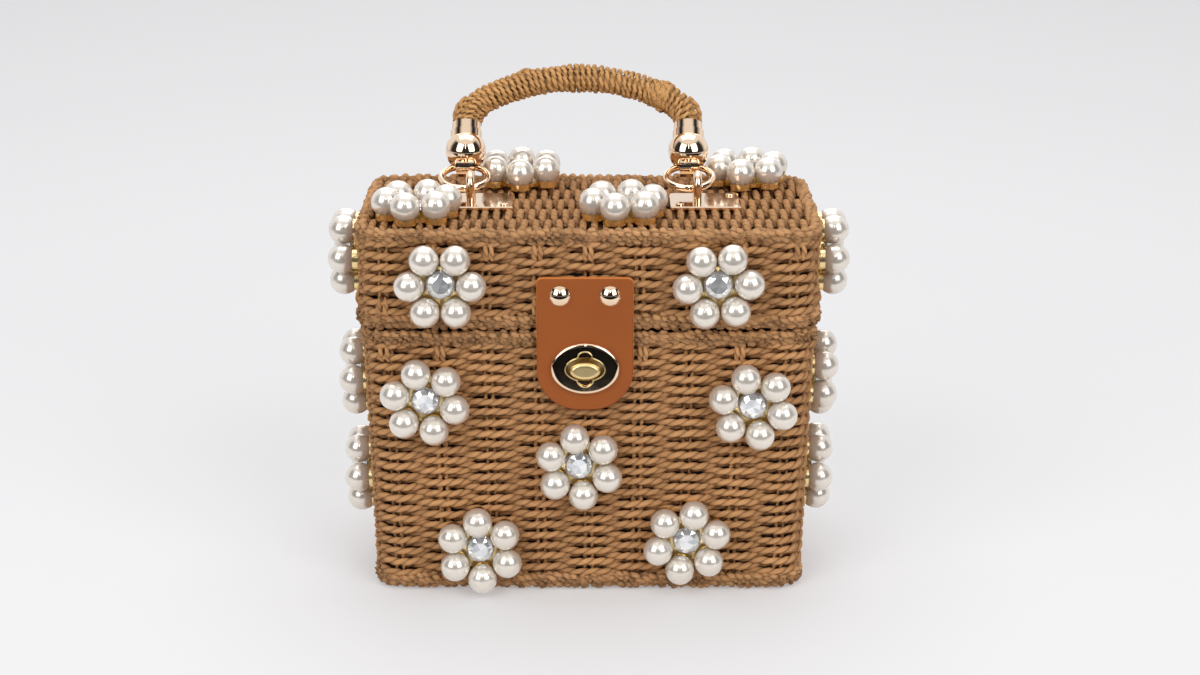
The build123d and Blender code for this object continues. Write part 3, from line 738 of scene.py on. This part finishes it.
class BOXBAG_OT_body(BagOperator, Operator):
    """Weaves the body basket."""

    bl_idname = "boxbag.body"
    bl_label = "Body Basket"

    def execute(self, context):
        rng = np.random.default_rng(11)
        wall = body_wall()
        settings = self.weave
        material = cord_material("wall")
        z_values = wall.row_heights(settings.row_pitch)
        middle = len(z_values) // 2
        # an odd start would swap front and behind, so the upper half is then woven from the top down
        upper = z_values[middle:][::-1] if middle % 2 else z_values[middle:]
        for name, values in (("body_weave_lower", z_values[:middle]), ("body_weave_upper", upper)):
            batch = CordBatch()
            stakes = weave_rows(batch, wall, settings, values, rng, 0.42 * MM)
            woven = batch.build(name, material)
            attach(woven, "body")
            if name == "body_weave_lower":
                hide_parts("body_basket")
        batch = CordBatch()
        stake_pairs(batch, wall, stakes, rng, 2.0 * MM)
        rim_ties(batch, wall, stakes, wall.z_high, -1, rng)
        uprights = batch.build("body_stakes", material)
        batch = CordBatch()
        panel_weave(batch, wall.panel_half(), 0.8 * MM, 1, settings, rng, 2.8 * MM)
        base = batch.build("body_base_weave", material)
        for piece in (uprights, base):
            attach(piece, "body")
        return {"FINISHED"}


class BOXBAG_OT_lid(BagOperator, Operator):
    """Weaves the lid basket."""

    bl_idname = "boxbag.lid"
    bl_label = "Lid Basket"

    def execute(self, context):
        rng = np.random.default_rng(23)
        wall = lid_wall()
        settings = self.weave
        batch = CordBatch()
        stakes = weave_rows(batch, wall, settings, wall.row_heights(settings.row_pitch), rng, 0.55 * MM)
        stake_pairs(batch, wall, stakes, rng, 2.0 * MM)
        rim_ties(batch, wall, stakes, wall.z_high, -1, rng)
        rim_ties(batch, wall, stakes, wall.z_low, 1, rng)
        woven = batch.build("lid_weave", cord_material("wall"))
        batch = CordBatch()
        panel_weave(batch, wall.panel_half(), box("lid_top_rim")[1][2] - PANEL_DROP, -1, settings, rng)
        top = batch.build("lid_top_weave", cord_material("wall"))
        for piece in (woven, top):
            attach(piece, "lid")
        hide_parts("lid_basket")
        return {"FINISHED"}


class BOXBAG_OT_rims(BagOperator, Operator):
    """Winds cord round the four rims."""

    bl_idname = "boxbag.rims"
    bl_label = "Wrapped Rims"

    def execute(self, context):
        rng = np.random.default_rng(37)
        material = cord_material("rim")
        for node in ("body_bottom_rim", "body_top_rim", "lid_bottom_rim", "lid_top_rim"):
            low, high = box(node)
            batch = CordBatch()
            rim_wraps(batch, high[:2], low[2], high[2], self.weave, rng)
            wound = batch.build(f"{node}_wrap", material)
            core = rim_core(f"{node}_core", high[:2], low[2], high[2], material)
            for piece in (wound, core):
                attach(piece, node.split("_")[0])
            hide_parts(node)
        return {"FINISHED"}


class BOXBAG_OT_lashings(BagOperator, Operator):
    """Ties the lid to the body with cord loops at the back."""

    bl_idname = "boxbag.lashings"
    bl_label = "Hinge Lashings"

    def execute(self, context):
        low, high = box("hinge_lashings")
        hinge = np.array(joint("lid_hinge")["pos_m"])
        lower = sum(box("body_top_rim"))[2] / 2
        radius = high[1] - hinge[1] - TIE_RADIUS
        batch = CordBatch()
        for x in (low[0] + TIE_RADIUS, (low[0] + high[0]) / 2, high[0] - TIE_RADIUS):
            top = np.linspace(0, math.pi, 16)
            arcs = [(hinge[1] + radius * math.cos(a), hinge[2] + radius * math.sin(a)) for a in top]
            arcs += [(hinge[1] - radius * math.cos(a), lower - radius * math.sin(a)) for a in top]
            points = np.array([(x, y, z) for y, z in arcs])
            sides = points - np.array([x, hinge[1], (hinge[2] + lower) / 2])
            batch.add(points, sides, TIE_RADIUS, TIE_LAY, closed=True, tone=0.7)
        ties = batch.build("hinge_cords", cord_material("rim"))
        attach(ties, "body")
        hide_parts("hinge_lashings")
        return {"FINISHED"}


def lining_tray(name, wall, z_open, z_closed, material, seed):
    """Open cloth tray with slack walls; its inner and outer faces are joined at the mouth."""
    rng = np.random.default_rng(seed)
    around, levels = 140, 16
    cloth = 0.8 * MM
    downward = z_closed < z_open
    step = cloth if downward else -cloth
    place = np.arange(around) / around
    points = []
    for layer in (0, 1):
        for share in np.linspace(0, 1, levels):
            z = z_open + (z_closed - z_open + step * layer) * share
            belly = math.sin(math.pi * share) * 0.5 * MM
            slack = np.sin(place * TURN * 9 + share * 3) * belly - belly
            slack += np.sin(place * TURN * 23 + share * 7) * 0.15 * MM
            inset = LINING_INSET + cloth * layer
            line = Outline(*(wall.half(z) - inset), CORNER_RADIUS - inset)
            points.append(line.ring(place, -slack * layer, z)[0])
    points.append(np.array([[0, 0, z_closed], [0, 0, z_closed + step]]))
    cloud = np.concatenate(points)
    cloud[:, 2] += rng.normal(0, 0.01 * MM, len(cloud))
    outer = levels * around
    faces = [face[::-1] for face in grid_faces(levels, around)] + grid_faces(levels, around, outer)
    for k in range(around):
        after = (k + 1) % around
        last = outer - around
        faces.append((last + k, 2 * outer, last + after))
        faces.append((last + outer + after, 2 * outer + 1, last + outer + k))
        faces.append((k, after, outer + after, outer + k))
    if not downward:
        faces = [face[::-1] for face in faces]
    return mesh_object(name, cloud, faces, material)


class BOXBAG_OT_linings(BagOperator, Operator):
    """Sews the dark cloth linings."""

    bl_idname = "boxbag.linings"
    bl_label = "Linings"

    def execute(self, context):
        material = lining_finish(self.trim.lining_colour)
        low, high = box("body_lining")
        body_cloth = lining_tray("body_cloth", body_wall(), high[2], low[2], material, 5)
        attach(body_cloth, "body")
        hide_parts("body_lining")
        low, high = box("lid_lining")
        lid_cloth = lining_tray("lid_cloth", lid_wall(), low[2], high[2], material, 6)
        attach(lid_cloth, "lid")
        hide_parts("lid_lining")
        return {"FINISHED"}


class HandleArch:
    """Middle line of the grip: two short legs, two haunches and a flatter crown, on a tilted plane."""

    def __init__(self):
        left, right = (sum(box(f"end_cap_{side}"))[0] / 2 for side in ("left", "right"))
        lug = joint("handle_swing")["pos_m"]
        self.origin = np.array([(left + right) / 2, lug[1], lug[2]])
        self.across = np.array([1.0, 0.0, 0.0])
        self.up = np.array([0.0, math.cos(HANDLE_TILT), math.sin(HANDLE_TILT)])
        self.face = np.cross(self.across, self.up)
        leg = (right - left) / 2
        haunch_x = leg - HAUNCH_RADIUS
        crown = (haunch_x**2 + GRIP_RISE**2 - HAUNCH_RADIUS**2) / (2 * GRIP_RISE - 2 * HAUNCH_RADIUS)
        lean = math.atan2(haunch_x, crown - GRIP_RISE)
        line = [(-leg, s) for s in np.linspace(GRIP_START, LEG_TOP, 8)[:-1]]
        for angle in np.linspace(math.pi, math.pi / 2 + lean, 60)[:-1]:
            x, s = HAUNCH_RADIUS * math.cos(angle), HAUNCH_RADIUS * math.sin(angle)
            line.append((x - haunch_x, LEG_TOP + s))
        for angle in np.linspace(-lean, lean, 90):
            line.append((crown * math.sin(angle), LEG_TOP + GRIP_RISE - crown + crown * math.cos(angle)))
        # the mirrored side starts again over the haunch's centre, so the right shoulder is wound twice
        line += [(-x, s) for x, s in line[::-1] if x < -haunch_x - 1e-9 or s < LEG_TOP]
        self.flat = np.array(line)
        steps = np.linalg.norm(np.diff(self.flat, axis=0), axis=1)
        self.run = np.concatenate([[0], np.cumsum(steps)])
        self.length = self.run[-1]

    def spot(self, place):
        """Flat place at a distance along the line."""
        return np.stack([np.interp(place, self.run, self.flat[:, part]) for part in (0, 1)])

    def beside(self, place, side_angle, reach):
        """Points beside the line, and their outward directions."""
        x, s = self.spot(place)
        nudge = 0.5 * MM
        dx, ds = self.spot(place + nudge) - self.spot(place - nudge)
        size = np.hypot(dx, ds)
        normal = np.outer(-ds / size, self.across) + np.outer(dx / size, self.up)
        sides = normal * np.cos(side_angle)[:, None] + np.outer(np.sin(side_angle), self.face)
        middle = self.origin + np.outer(x, self.across) + np.outer(s, self.up)
        return middle + sides * np.broadcast_to(reach, place.shape)[:, None], sides


class BOXBAG_OT_handle(BagOperator, Operator):
    """Winds the cord of the handle's grip."""

    bl_idname = "boxbag.handle"
    bl_label = "Handle"

    def execute(self, context):
        rng = np.random.default_rng(51)
        arch = HandleArch()
        first = NECK_TOP + 0.9 * MM - GRIP_START
        last = arch.length - first
        pitch = 2.7 * MM
        turns = int((last - first) / pitch)
        per_turn = 13
        steps = turns * per_turn
        progress = np.linspace(first, last, steps)
        sway = eased(rng.normal(0, 0.16 * MM, turns), per_turn)
        swell = 1 + 0.03 * np.sin(progress / arch.length * 31) + eased(rng.normal(0, 0.03, turns), per_turn)
        angle = TURN * np.arange(steps) / per_turn
        reach = (GRIP_RADIUS - 1.1 * MM) * swell
        points, sides = arch.beside(np.clip(progress + sway, first, last), angle, reach)
        batch = CordBatch()
        batch.add(points, sides, 1.5 * MM, 9.5 * MM, squash=(0.9, 1.05), tone=0.8)
        share = np.linspace(0, 1, 16)
        knots = ((first, 9 * MM, 1.0 * MM, 0.7), (0.245 * arch.length, 8 * MM, 0.7 * MM, 1.1))
        for begin, span, lift, twist in knots:
            place = begin + span * share
            out = GRIP_RADIUS - 0.6 * MM + lift * np.sin(math.pi * share)
            for spots in (place, arch.length - place):
                knot, knot_sides = arch.beside(spots, (share - 0.5) * twist, out)
                batch.add(knot, knot_sides, STAKE_RADIUS, TIE_LAY, tone=0.7)
        grip = batch.build("handle_cord_wrap", cord_material("grip"))
        batch = CordBatch()
        middle, _ = arch.beside(np.linspace(0, arch.length, 90), np.zeros(90), 0.0)
        batch.add(middle, np.tile(arch.face, (90, 1)), GRIP_CORE_RADIUS, 200 * MM, tone=0.3)
        core = batch.build("handle_core", cord_material("grip"))
        for piece in (grip, core):
            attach(piece, "handle")
        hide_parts("handle_grip")
        return {"FINISHED"}


def tab_edge(angle, centre, low, high):
    """Distance from the lock's centre to the tab's outline in one direction."""
    way = np.array([math.cos(angle), math.sin(angle)])
    best = 1.0
    corners = (
        (low[0] + TAB_BOTTOM_CORNER, low[1] + TAB_BOTTOM_CORNER, TAB_BOTTOM_CORNER, -1, -1),
        (high[0] - TAB_BOTTOM_CORNER, low[1] + TAB_BOTTOM_CORNER, TAB_BOTTOM_CORNER, 1, -1),
        (low[0] + TAB_TOP_CORNER, high[1] - TAB_TOP_CORNER, TAB_TOP_CORNER, -1, 1),
        (high[0] - TAB_TOP_CORNER, high[1] - TAB_TOP_CORNER, TAB_TOP_CORNER, 1, 1),
    )
    for axis in (0, 1):
        if abs(way[axis]) > 1e-9:
            limit = high[axis] if way[axis] > 0 else low[axis]
            best = min(best, (limit - centre[axis]) / way[axis])
    hit = centre + way * best
    for cx, cz, radius, sx, sz in corners:
        if sx * (hit[0] - cx) > 0 and sz * (hit[1] - cz) > 0:
            offset = centre - np.array([cx, cz])
            along = np.dot(way, offset)
            best = -along + math.sqrt(max(0.0, along**2 - np.dot(offset, offset) + radius**2))
    return best


class BOXBAG_OT_tab(BagOperator, Operator):
    """Cuts the leather tab with rounded edges and a way through for the button."""

    bl_idname = "boxbag.tab"
    bl_label = "Leather Tab"

    def execute(self, context):
        flap_low, flap_high = box("tab_flap")
        low = np.array([flap_low[0], flap_low[2]])
        high = np.array([flap_high[0], box("tab_root")[1][2]])
        back, front = flap_high[1], flap_low[1]
        button = joint("lock_turn")["pos_m"]
        centre = np.array([button[0], button[2]])
        hole_width, hole_height = 9.0 * MM, 5.8 * MM
        rounding = 0.7 * MM
        dip_depth, dip_reach = 0.55 * MM, 5 * MM
        rivet_z = sum(box("tab_rivets"))[2] / 2
        rays = []
        for angle in np.linspace(0, TURN, 240, endpoint=False):
            way = np.array([math.cos(angle), math.sin(angle)])
            inner = 1 / math.hypot(way[0] / hole_width, way[1] / hole_height)
            rays.append((way, inner, tab_edge(angle, centre, low, high)))
        points = []
        tones = []

        def ring(share, inset, y, tone):
            """One loop of points from the hole towards the edge; the face dips between the rivets."""
            for way, inner, outer in rays:
                x, z = centre + way * (inner + (outer - inner) * share - inset)
                off = math.hypot(x - centre[0], z - rivet_z) / dip_reach
                points.append((x, y + dip_depth * math.exp(-(off**2)), z))
                tones.append(tone)

        face_shares = np.linspace(0, 0.985, 30)
        for share in face_shares:
            ring(share, 0.0, front, 0.0)
        for turn in np.linspace(0.25, 1, 4) * math.pi / 2:
            rise, run = rounding * (1 - math.cos(turn)), rounding * (1 - math.sin(turn))
            ring(1.0, run, front + rise, 0.55 + 0.45 * math.sin(turn))
        for turn in np.linspace(0, 0.85, 4) * math.pi / 2:
            ring(1.0, rounding * (1 - math.cos(turn)), back - rounding * (1 - math.sin(turn)), 1.0)
        for share in face_shares[::-1]:
            ring(share, 0.0, back, 0.15)
        faces = [face[::-1] for face in grid_faces(len(points) // len(rays), len(rays), closed=True)]
        hide = leather_finish(self.trim.leather_colour, self.trim.edge_colour)
        leather = mesh_object("leather_tab", points, faces, hide, tones=tones)
        x, y, z = joint("tab_fold")["pos_m"]
        reach = 3.2 * MM
        z + reach
        z - reach
        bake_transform(leather)
        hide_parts("tab_root", "tab_flap")
        return {"FINISHED"}


class BOXBAG_OT_rivets(BagOperator, Operator):
    """Turns the tab's two domed rivets."""

    bl_idname = "boxbag.rivets"
    bl_label = "Tab Rivets"

    def execute(self, context):
        low, high = box("tab_rivets")
        head = (high[2] - low[2]) / 2
        middle = (high[2] + low[2]) / 2
        leather = box("tab_root")[0][1]
        rise = leather - low[1]
        sphere = (head**2 + rise**2) / (2 * rise)
        shank = 1.5 * MM
        profile = []
        for tilt in np.linspace(0, math.asin(head / sphere), 14):
            profile.append((sphere * math.sin(tilt), low[1] + sphere - sphere * math.cos(tilt)))
        profile += [(head, leather), (shank, leather), (shank, high[1]), (0.0, high[1])]
        circle = [(math.cos(turn), math.sin(turn)) for turn in np.linspace(0, TURN, 40, endpoint=False)]
        points = []
        faces = []
        for x in (low[0] + head, high[0] - head):
            faces += grid_faces(len(profile), len(circle), len(points))
            for radius, y in profile:
                points += [(x + radius * across, y, middle + radius * up) for across, up in circle]
        finish = metal_finish("rivet_gold", self.trim.metal_colour, 0.06)
        rivets = mesh_object("tab_rivets_turned", points, faces, finish)
        rivets.data.set_sharp_from_angle(angle=math.radians(50))
        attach(rivets, "lid")
        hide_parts("tab_rivets")
        return {"FINISHED"}


class BOXBAG_OT_lock_bead(BagOperator, Operator):
    """Runs a fine bead round the lock's opening and its two lobes."""

    bl_idname = "boxbag.lock_bead"
    bl_label = "Lock Bead"

    def execute(self, context):
        face = box("lock_face_plate")[0][1]
        button = joint("lock_turn")["pos_m"]
        half_width, half_height, lobe, reach = (part * MM for part in (8.5, 5.3, 3.4, 7.9))
        offset = reach - lobe
        points = []
        for turn in np.linspace(0, TURN, 160, endpoint=False):
            x, z = math.cos(turn), math.sin(turn)
            oval = 1 / math.hypot(x / half_width, z / half_height)
            inside = lobe**2 - (offset * x) ** 2
            bulge = offset * abs(z) + math.sqrt(inside) if inside > 0 else 0.0
            out = max(oval, bulge)
            points.append((button[0] + out * x, face + 0.12 * MM, button[2] + out * z))
        batch = CordBatch()
        batch.add(np.array(points), np.tile([0.0, -1.0, 0.0], (160, 1)), 0.38 * MM, 1.0, closed=True)
        bead = batch.build("lock_opening_bead", metal_finish("bead_gold", (0.97, 0.78, 0.42), 0.12))
        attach(bead, "tab")
        return {"FINISHED"}


def lump_centres(node):
    """Middles of a node's separate lumps, in the order of their first points."""
    mesh = frame["nodes"][node].data
    points = np.array([vertex.co[:] for vertex in mesh.vertices])
    _, spot = np.unique(np.round(points, 6), axis=0, return_inverse=True)
    spot = spot.reshape(-1)
    ends = spot[np.array([edge.vertices[:] for edge in mesh.edges])].T
    label = np.arange(len(points))
    settled = False
    while not settled:
        lowest = label.copy()
        np.minimum.at(lowest, ends[0], label[ends[1]])
        np.minimum.at(lowest, ends[1], label[ends[0]])
        settled = np.array_equal(lowest, label)
        label = lowest
    lump = label[spot]
    firsts = np.sort(np.unique(lump, return_index=True)[1])
    lumps = [points[lump == lump[first]] for first in firsts]
    return [(lump.min(axis=0) + lump.max(axis=0)) / 2 for lump in lumps]


class BOXBAG_OT_pearls(BagOperator, Operator):
    """Sets smooth pearls on every flower."""

    bl_idname = "boxbag.pearls"
    bl_label = "Pearls"

    def execute(self, context):
        material = pearl_finish(self.trim.pearl_colour)
        rings = np.linspace(0, math.pi, 16)[1:-1]
        turns = np.linspace(0, TURN, 24, endpoint=False)
        shell = []
        for tilt in rings:
            wide = math.sin(tilt)
            shell += [(wide * math.cos(turn), wide * math.sin(turn), math.cos(tilt)) for turn in turns]
        shell = np.array(shell + [(0.0, 0.0, 1.0), (0.0, 0.0, -1.0)]) * PEARL_RADIUS
        pole = len(shell) - 2
        last = pole - len(turns)
        net = [face[::-1] for face in grid_faces(len(rings), len(turns))]
        for k in range(len(turns)):
            after = (k + 1) % len(turns)
            net += [(pole, k, after), (last + k, pole + 1, last + after)]
        for node in frame["nodes"]:
            if not node.startswith("pearls_"):
                continue
            centres = lump_centres(node)
            points = np.concatenate([centre + shell for centre in centres])
            faces = [[i + n * len(shell) for i in face] for n in range(len(centres)) for face in net]
            pearls = mesh_object(f"{node}_set", points, faces, material)
            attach(pearls, "lid" if "_lid_" in node else "body")
            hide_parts(node)
        return {"FINISHED"}


def cut_stone(base, out):
    """Triangles of a round stone on its base: crown facets, girdle, table and the cut below."""
    helper = np.array([0.0, 0.0, 1.0]) if abs(out[2]) < 0.9 else np.array([0.0, 1.0, 0.0])
    right = np.cross(helper, out)
    right /= np.linalg.norm(right)
    up = np.cross(out, right)
    loops = []
    # radius and height in mm, turn in facets and facet count of each loop, from the back to the table
    levels = ((4.7, 0.0, 0.0, 8), (6.3, 1.6, 0.5, 16), (5.5, 2.6, 0.0, 16), (3.5, 3.6, 0.5, 8))
    for radius, height, offset, count in levels:
        turns = TURN * (np.arange(count + 1) + offset) / count
        ring = np.outer(np.cos(turns), right) + np.outer(np.sin(turns), up)
        loops.append(base + (ring * radius + out * height) * MM)
    under, girdle, crown, table = loops
    triangles = [[table[k], table[k + 1], base + out * 3.6 * MM] for k in range(8)]
    for k in range(16):
        triangles += [[girdle[k], girdle[k + 1], crown[k]], [girdle[k + 1], crown[k + 1], crown[k]]]
    for k in range(8):
        a, b, c = crown[2 * k:2 * k + 3]
        triangles += [[a, b, table[k]], [b, c, table[k]], [c, table[k + 1], table[k]]]
    for k in range(8):
        a, b, c = girdle[2 * k:2 * k + 3]
        triangles += [[b, a, under[k]], [c, b, under[k + 1]], [b, under[k], under[k + 1]]]
    return triangles


class BOXBAG_OT_crystals(BagOperator, Operator):
    """Cuts a faceted stone for every flower."""

    bl_idname = "boxbag.crystals"
    bl_label = "Crystals"

    def execute(self, context):
        rng = np.random.default_rng(71)
        material = crystal_finish()
        for basket in ("body", "lid"):
            node = f"crystals_{basket}"
            backs = [name for name in frame["nodes"] if name.startswith(f"flower_setting_{basket}")]
            middles = [sum(box(name)) / 2 for name in backs]
            triangles = []
            for centre in lump_centres(node):
                nearest = min(middles, key=lambda middle: np.linalg.norm(middle - centre))
                out = (centre - nearest) / np.linalg.norm(centre - nearest)
                triangles += cut_stone(centre - out * 1.8 * MM, out)
            # random brightness for each facet: painted reflections for the crystal material
            tones = np.repeat([rng.uniform(0.0, 1.0) ** 0.6 for _ in triangles], 3)
            points = np.concatenate(triangles)
            faces = np.arange(len(points)).reshape(-1, 3)
            stones = mesh_object(f"{node}_cut", points, faces, material, tones=tones, smooth=False)
            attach(stones, basket)
            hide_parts(node)
        return {"FINISHED"}


class BOXBAG_OT_metal(BagOperator, Operator):
    """Gives the fittings and the flower settings their polish."""

    bl_idname = "boxbag.metal"
    bl_label = "Metal Finish"

    def execute(self, context):
        bright = metal_finish("bright_gold", self.trim.metal_colour, 0.04)
        cast = metal_finish("cast_gold", self.trim.setting_colour, 0.22)
        satin = metal_finish("satin_gold", (0.93, 0.74, 0.36), 0.30)
        hidden = metal_finish("inner_steel", (0.6, 0.58, 0.55), 0.3)
        own = dict.fromkeys(("turn_button", "lock_base"), satin)
        inner = "eye_washers lock_backing_washer tab_rivet_caps spindle_retainer lock_back_plate"
        own.update(dict.fromkeys(inner.split(), hidden))
        by_slot = {"gold_metal": bright, "setting_gold": cast}
        for item in frame["record"]["subparts"]:
            if item["material_slot"] in by_slot:
                finishes = frame["nodes"][item["node"]].data.materials
                finishes.clear()
                finishes.append(own.get(item["node"], by_slot[item["material_slot"]]))
        return {"FINISHED"}


def flat_sheet(name, half_width, near, far, material):
    """A level rectangle at z = 0, from near to far along Y."""
    corners = [(-half_width, near, 0), (half_width, near, 0), (half_width, far, 0), (-half_width, far, 0)]
    return mesh_object(name, corners, [(0, 1, 2, 3)], material)


class BOXBAG_OT_stage(BagOperator, Operator):
    """Sets the floor, the soft boxes and the camera."""

    bl_idname = "boxbag.stage"
    bl_label = "Studio"

    def execute(self, context):
        scene = bpy.context.scene
        floor = flat_sheet("studio_floor", 9.0, -9.0, 9.0, floor_finish(self.trim.floor_colour))
        floor.location.z = -0.7 * MM
        card = flat_sheet("black_card", 1.8, -2.6, -0.335, card_finish())
        card.visible_camera = card.visible_diffuse = card.visible_shadow = False
        bag_middle = Vector((0, 0, 0.1))
        lamps = (
            ("left_softbox", (-1.05, -1.35, 1.10), (1.15, 1.5), 16.0),
            ("right_softbox", (1.05, -1.35, 1.10), (1.15, 1.5), 16.0),
            ("middle_strip", (0.0, -2.2, 1.9), (0.07, 1.0), 3.0),
            ("top_softbox", (0.0, 0.45, 1.9), (1.8, 1.2), 12.0),
            ("back_fill", (0.0, 2.4, 1.6), (2.4, 1.2), 11.0),
        )
        for name, place, size, power in lamps:
            data = bpy.data.lights.new(name, "AREA")
            data.shape = "RECTANGLE"
            data.size, data.size_y = size
            data.energy = power
            lamp = bpy.data.objects.new(name, data)
            lamp.location = place
            lamp.rotation_euler = (bag_middle - Vector(place)).to_track_quat("-Z", "Y").to_euler()
            scene.collection.objects.link(lamp)
        scene.world = studio_world()
        scene.view_settings.view_transform = "Standard"
        camera_data = bpy.data.cameras.new("view")
        camera_data.sensor_width = 36.0
        camera_data.lens = 71.8
        camera = bpy.data.objects.new("view", camera_data)
        camera.location = (0.00495, -1.03106, 0.41467)
        pitch_down = math.radians(16.93)
        camera.rotation_euler = (math.pi / 2 - pitch_down, 0.0, 0.0)
        scene.collection.objects.link(camera)
        scene.camera = camera
        return {"FINISHED"}


class BOXBAG_PT_sidebar(Panel):
    """Sizes, colours and steps of the bag."""

    bl_idname = "BOXBAG_PT_sidebar"
    bl_label = "Woven Box Bag"
    bl_space_type = "VIEW_3D"
    bl_region_type = "UI"
    bl_category = "Box Bag"

    def draw(self, context):
        for settings in (context.scene.box_bag_weave, context.scene.box_bag_trim):
            for name in settings.__annotations__:
                self.layout.prop(settings, name)
        for operator in OPERATORS:
            self.layout.operator(operator.bl_idname)


OPERATORS = (
    BOXBAG_OT_stage,
    BOXBAG_OT_body,
    BOXBAG_OT_lid,
    BOXBAG_OT_rims,
    BOXBAG_OT_lashings,
    BOXBAG_OT_linings,
    BOXBAG_OT_handle,
    BOXBAG_OT_tab,
    BOXBAG_OT_rivets,
    BOXBAG_OT_lock_bead,
    BOXBAG_OT_pearls,
    BOXBAG_OT_crystals,
    BOXBAG_OT_metal,
)
CLASSES = (BoxBagWeave, BoxBagTrim) + OPERATORS + (BOXBAG_PT_sidebar,)


def register():
    """Registers the classes and their settings."""
    for item in CLASSES:
        bpy.utils.register_class(item)
    bpy.types.Scene.box_bag_weave = PointerProperty(type=BoxBagWeave)
    bpy.types.Scene.box_bag_trim = PointerProperty(type=BoxBagTrim)


def unregister():
    """Removes the settings and the classes."""
    del bpy.types.Scene.box_bag_trim
    del bpy.types.Scene.box_bag_weave
    for item in reversed(CLASSES):
        bpy.utils.unregister_class(item)


def main():
    """Runs every step in order."""
    register()
    for operator in OPERATORS:
        group, step = operator.bl_idname.split(".")
        getattr(getattr(bpy.ops, group), step)()


if __name__ == "__main__":
    main()
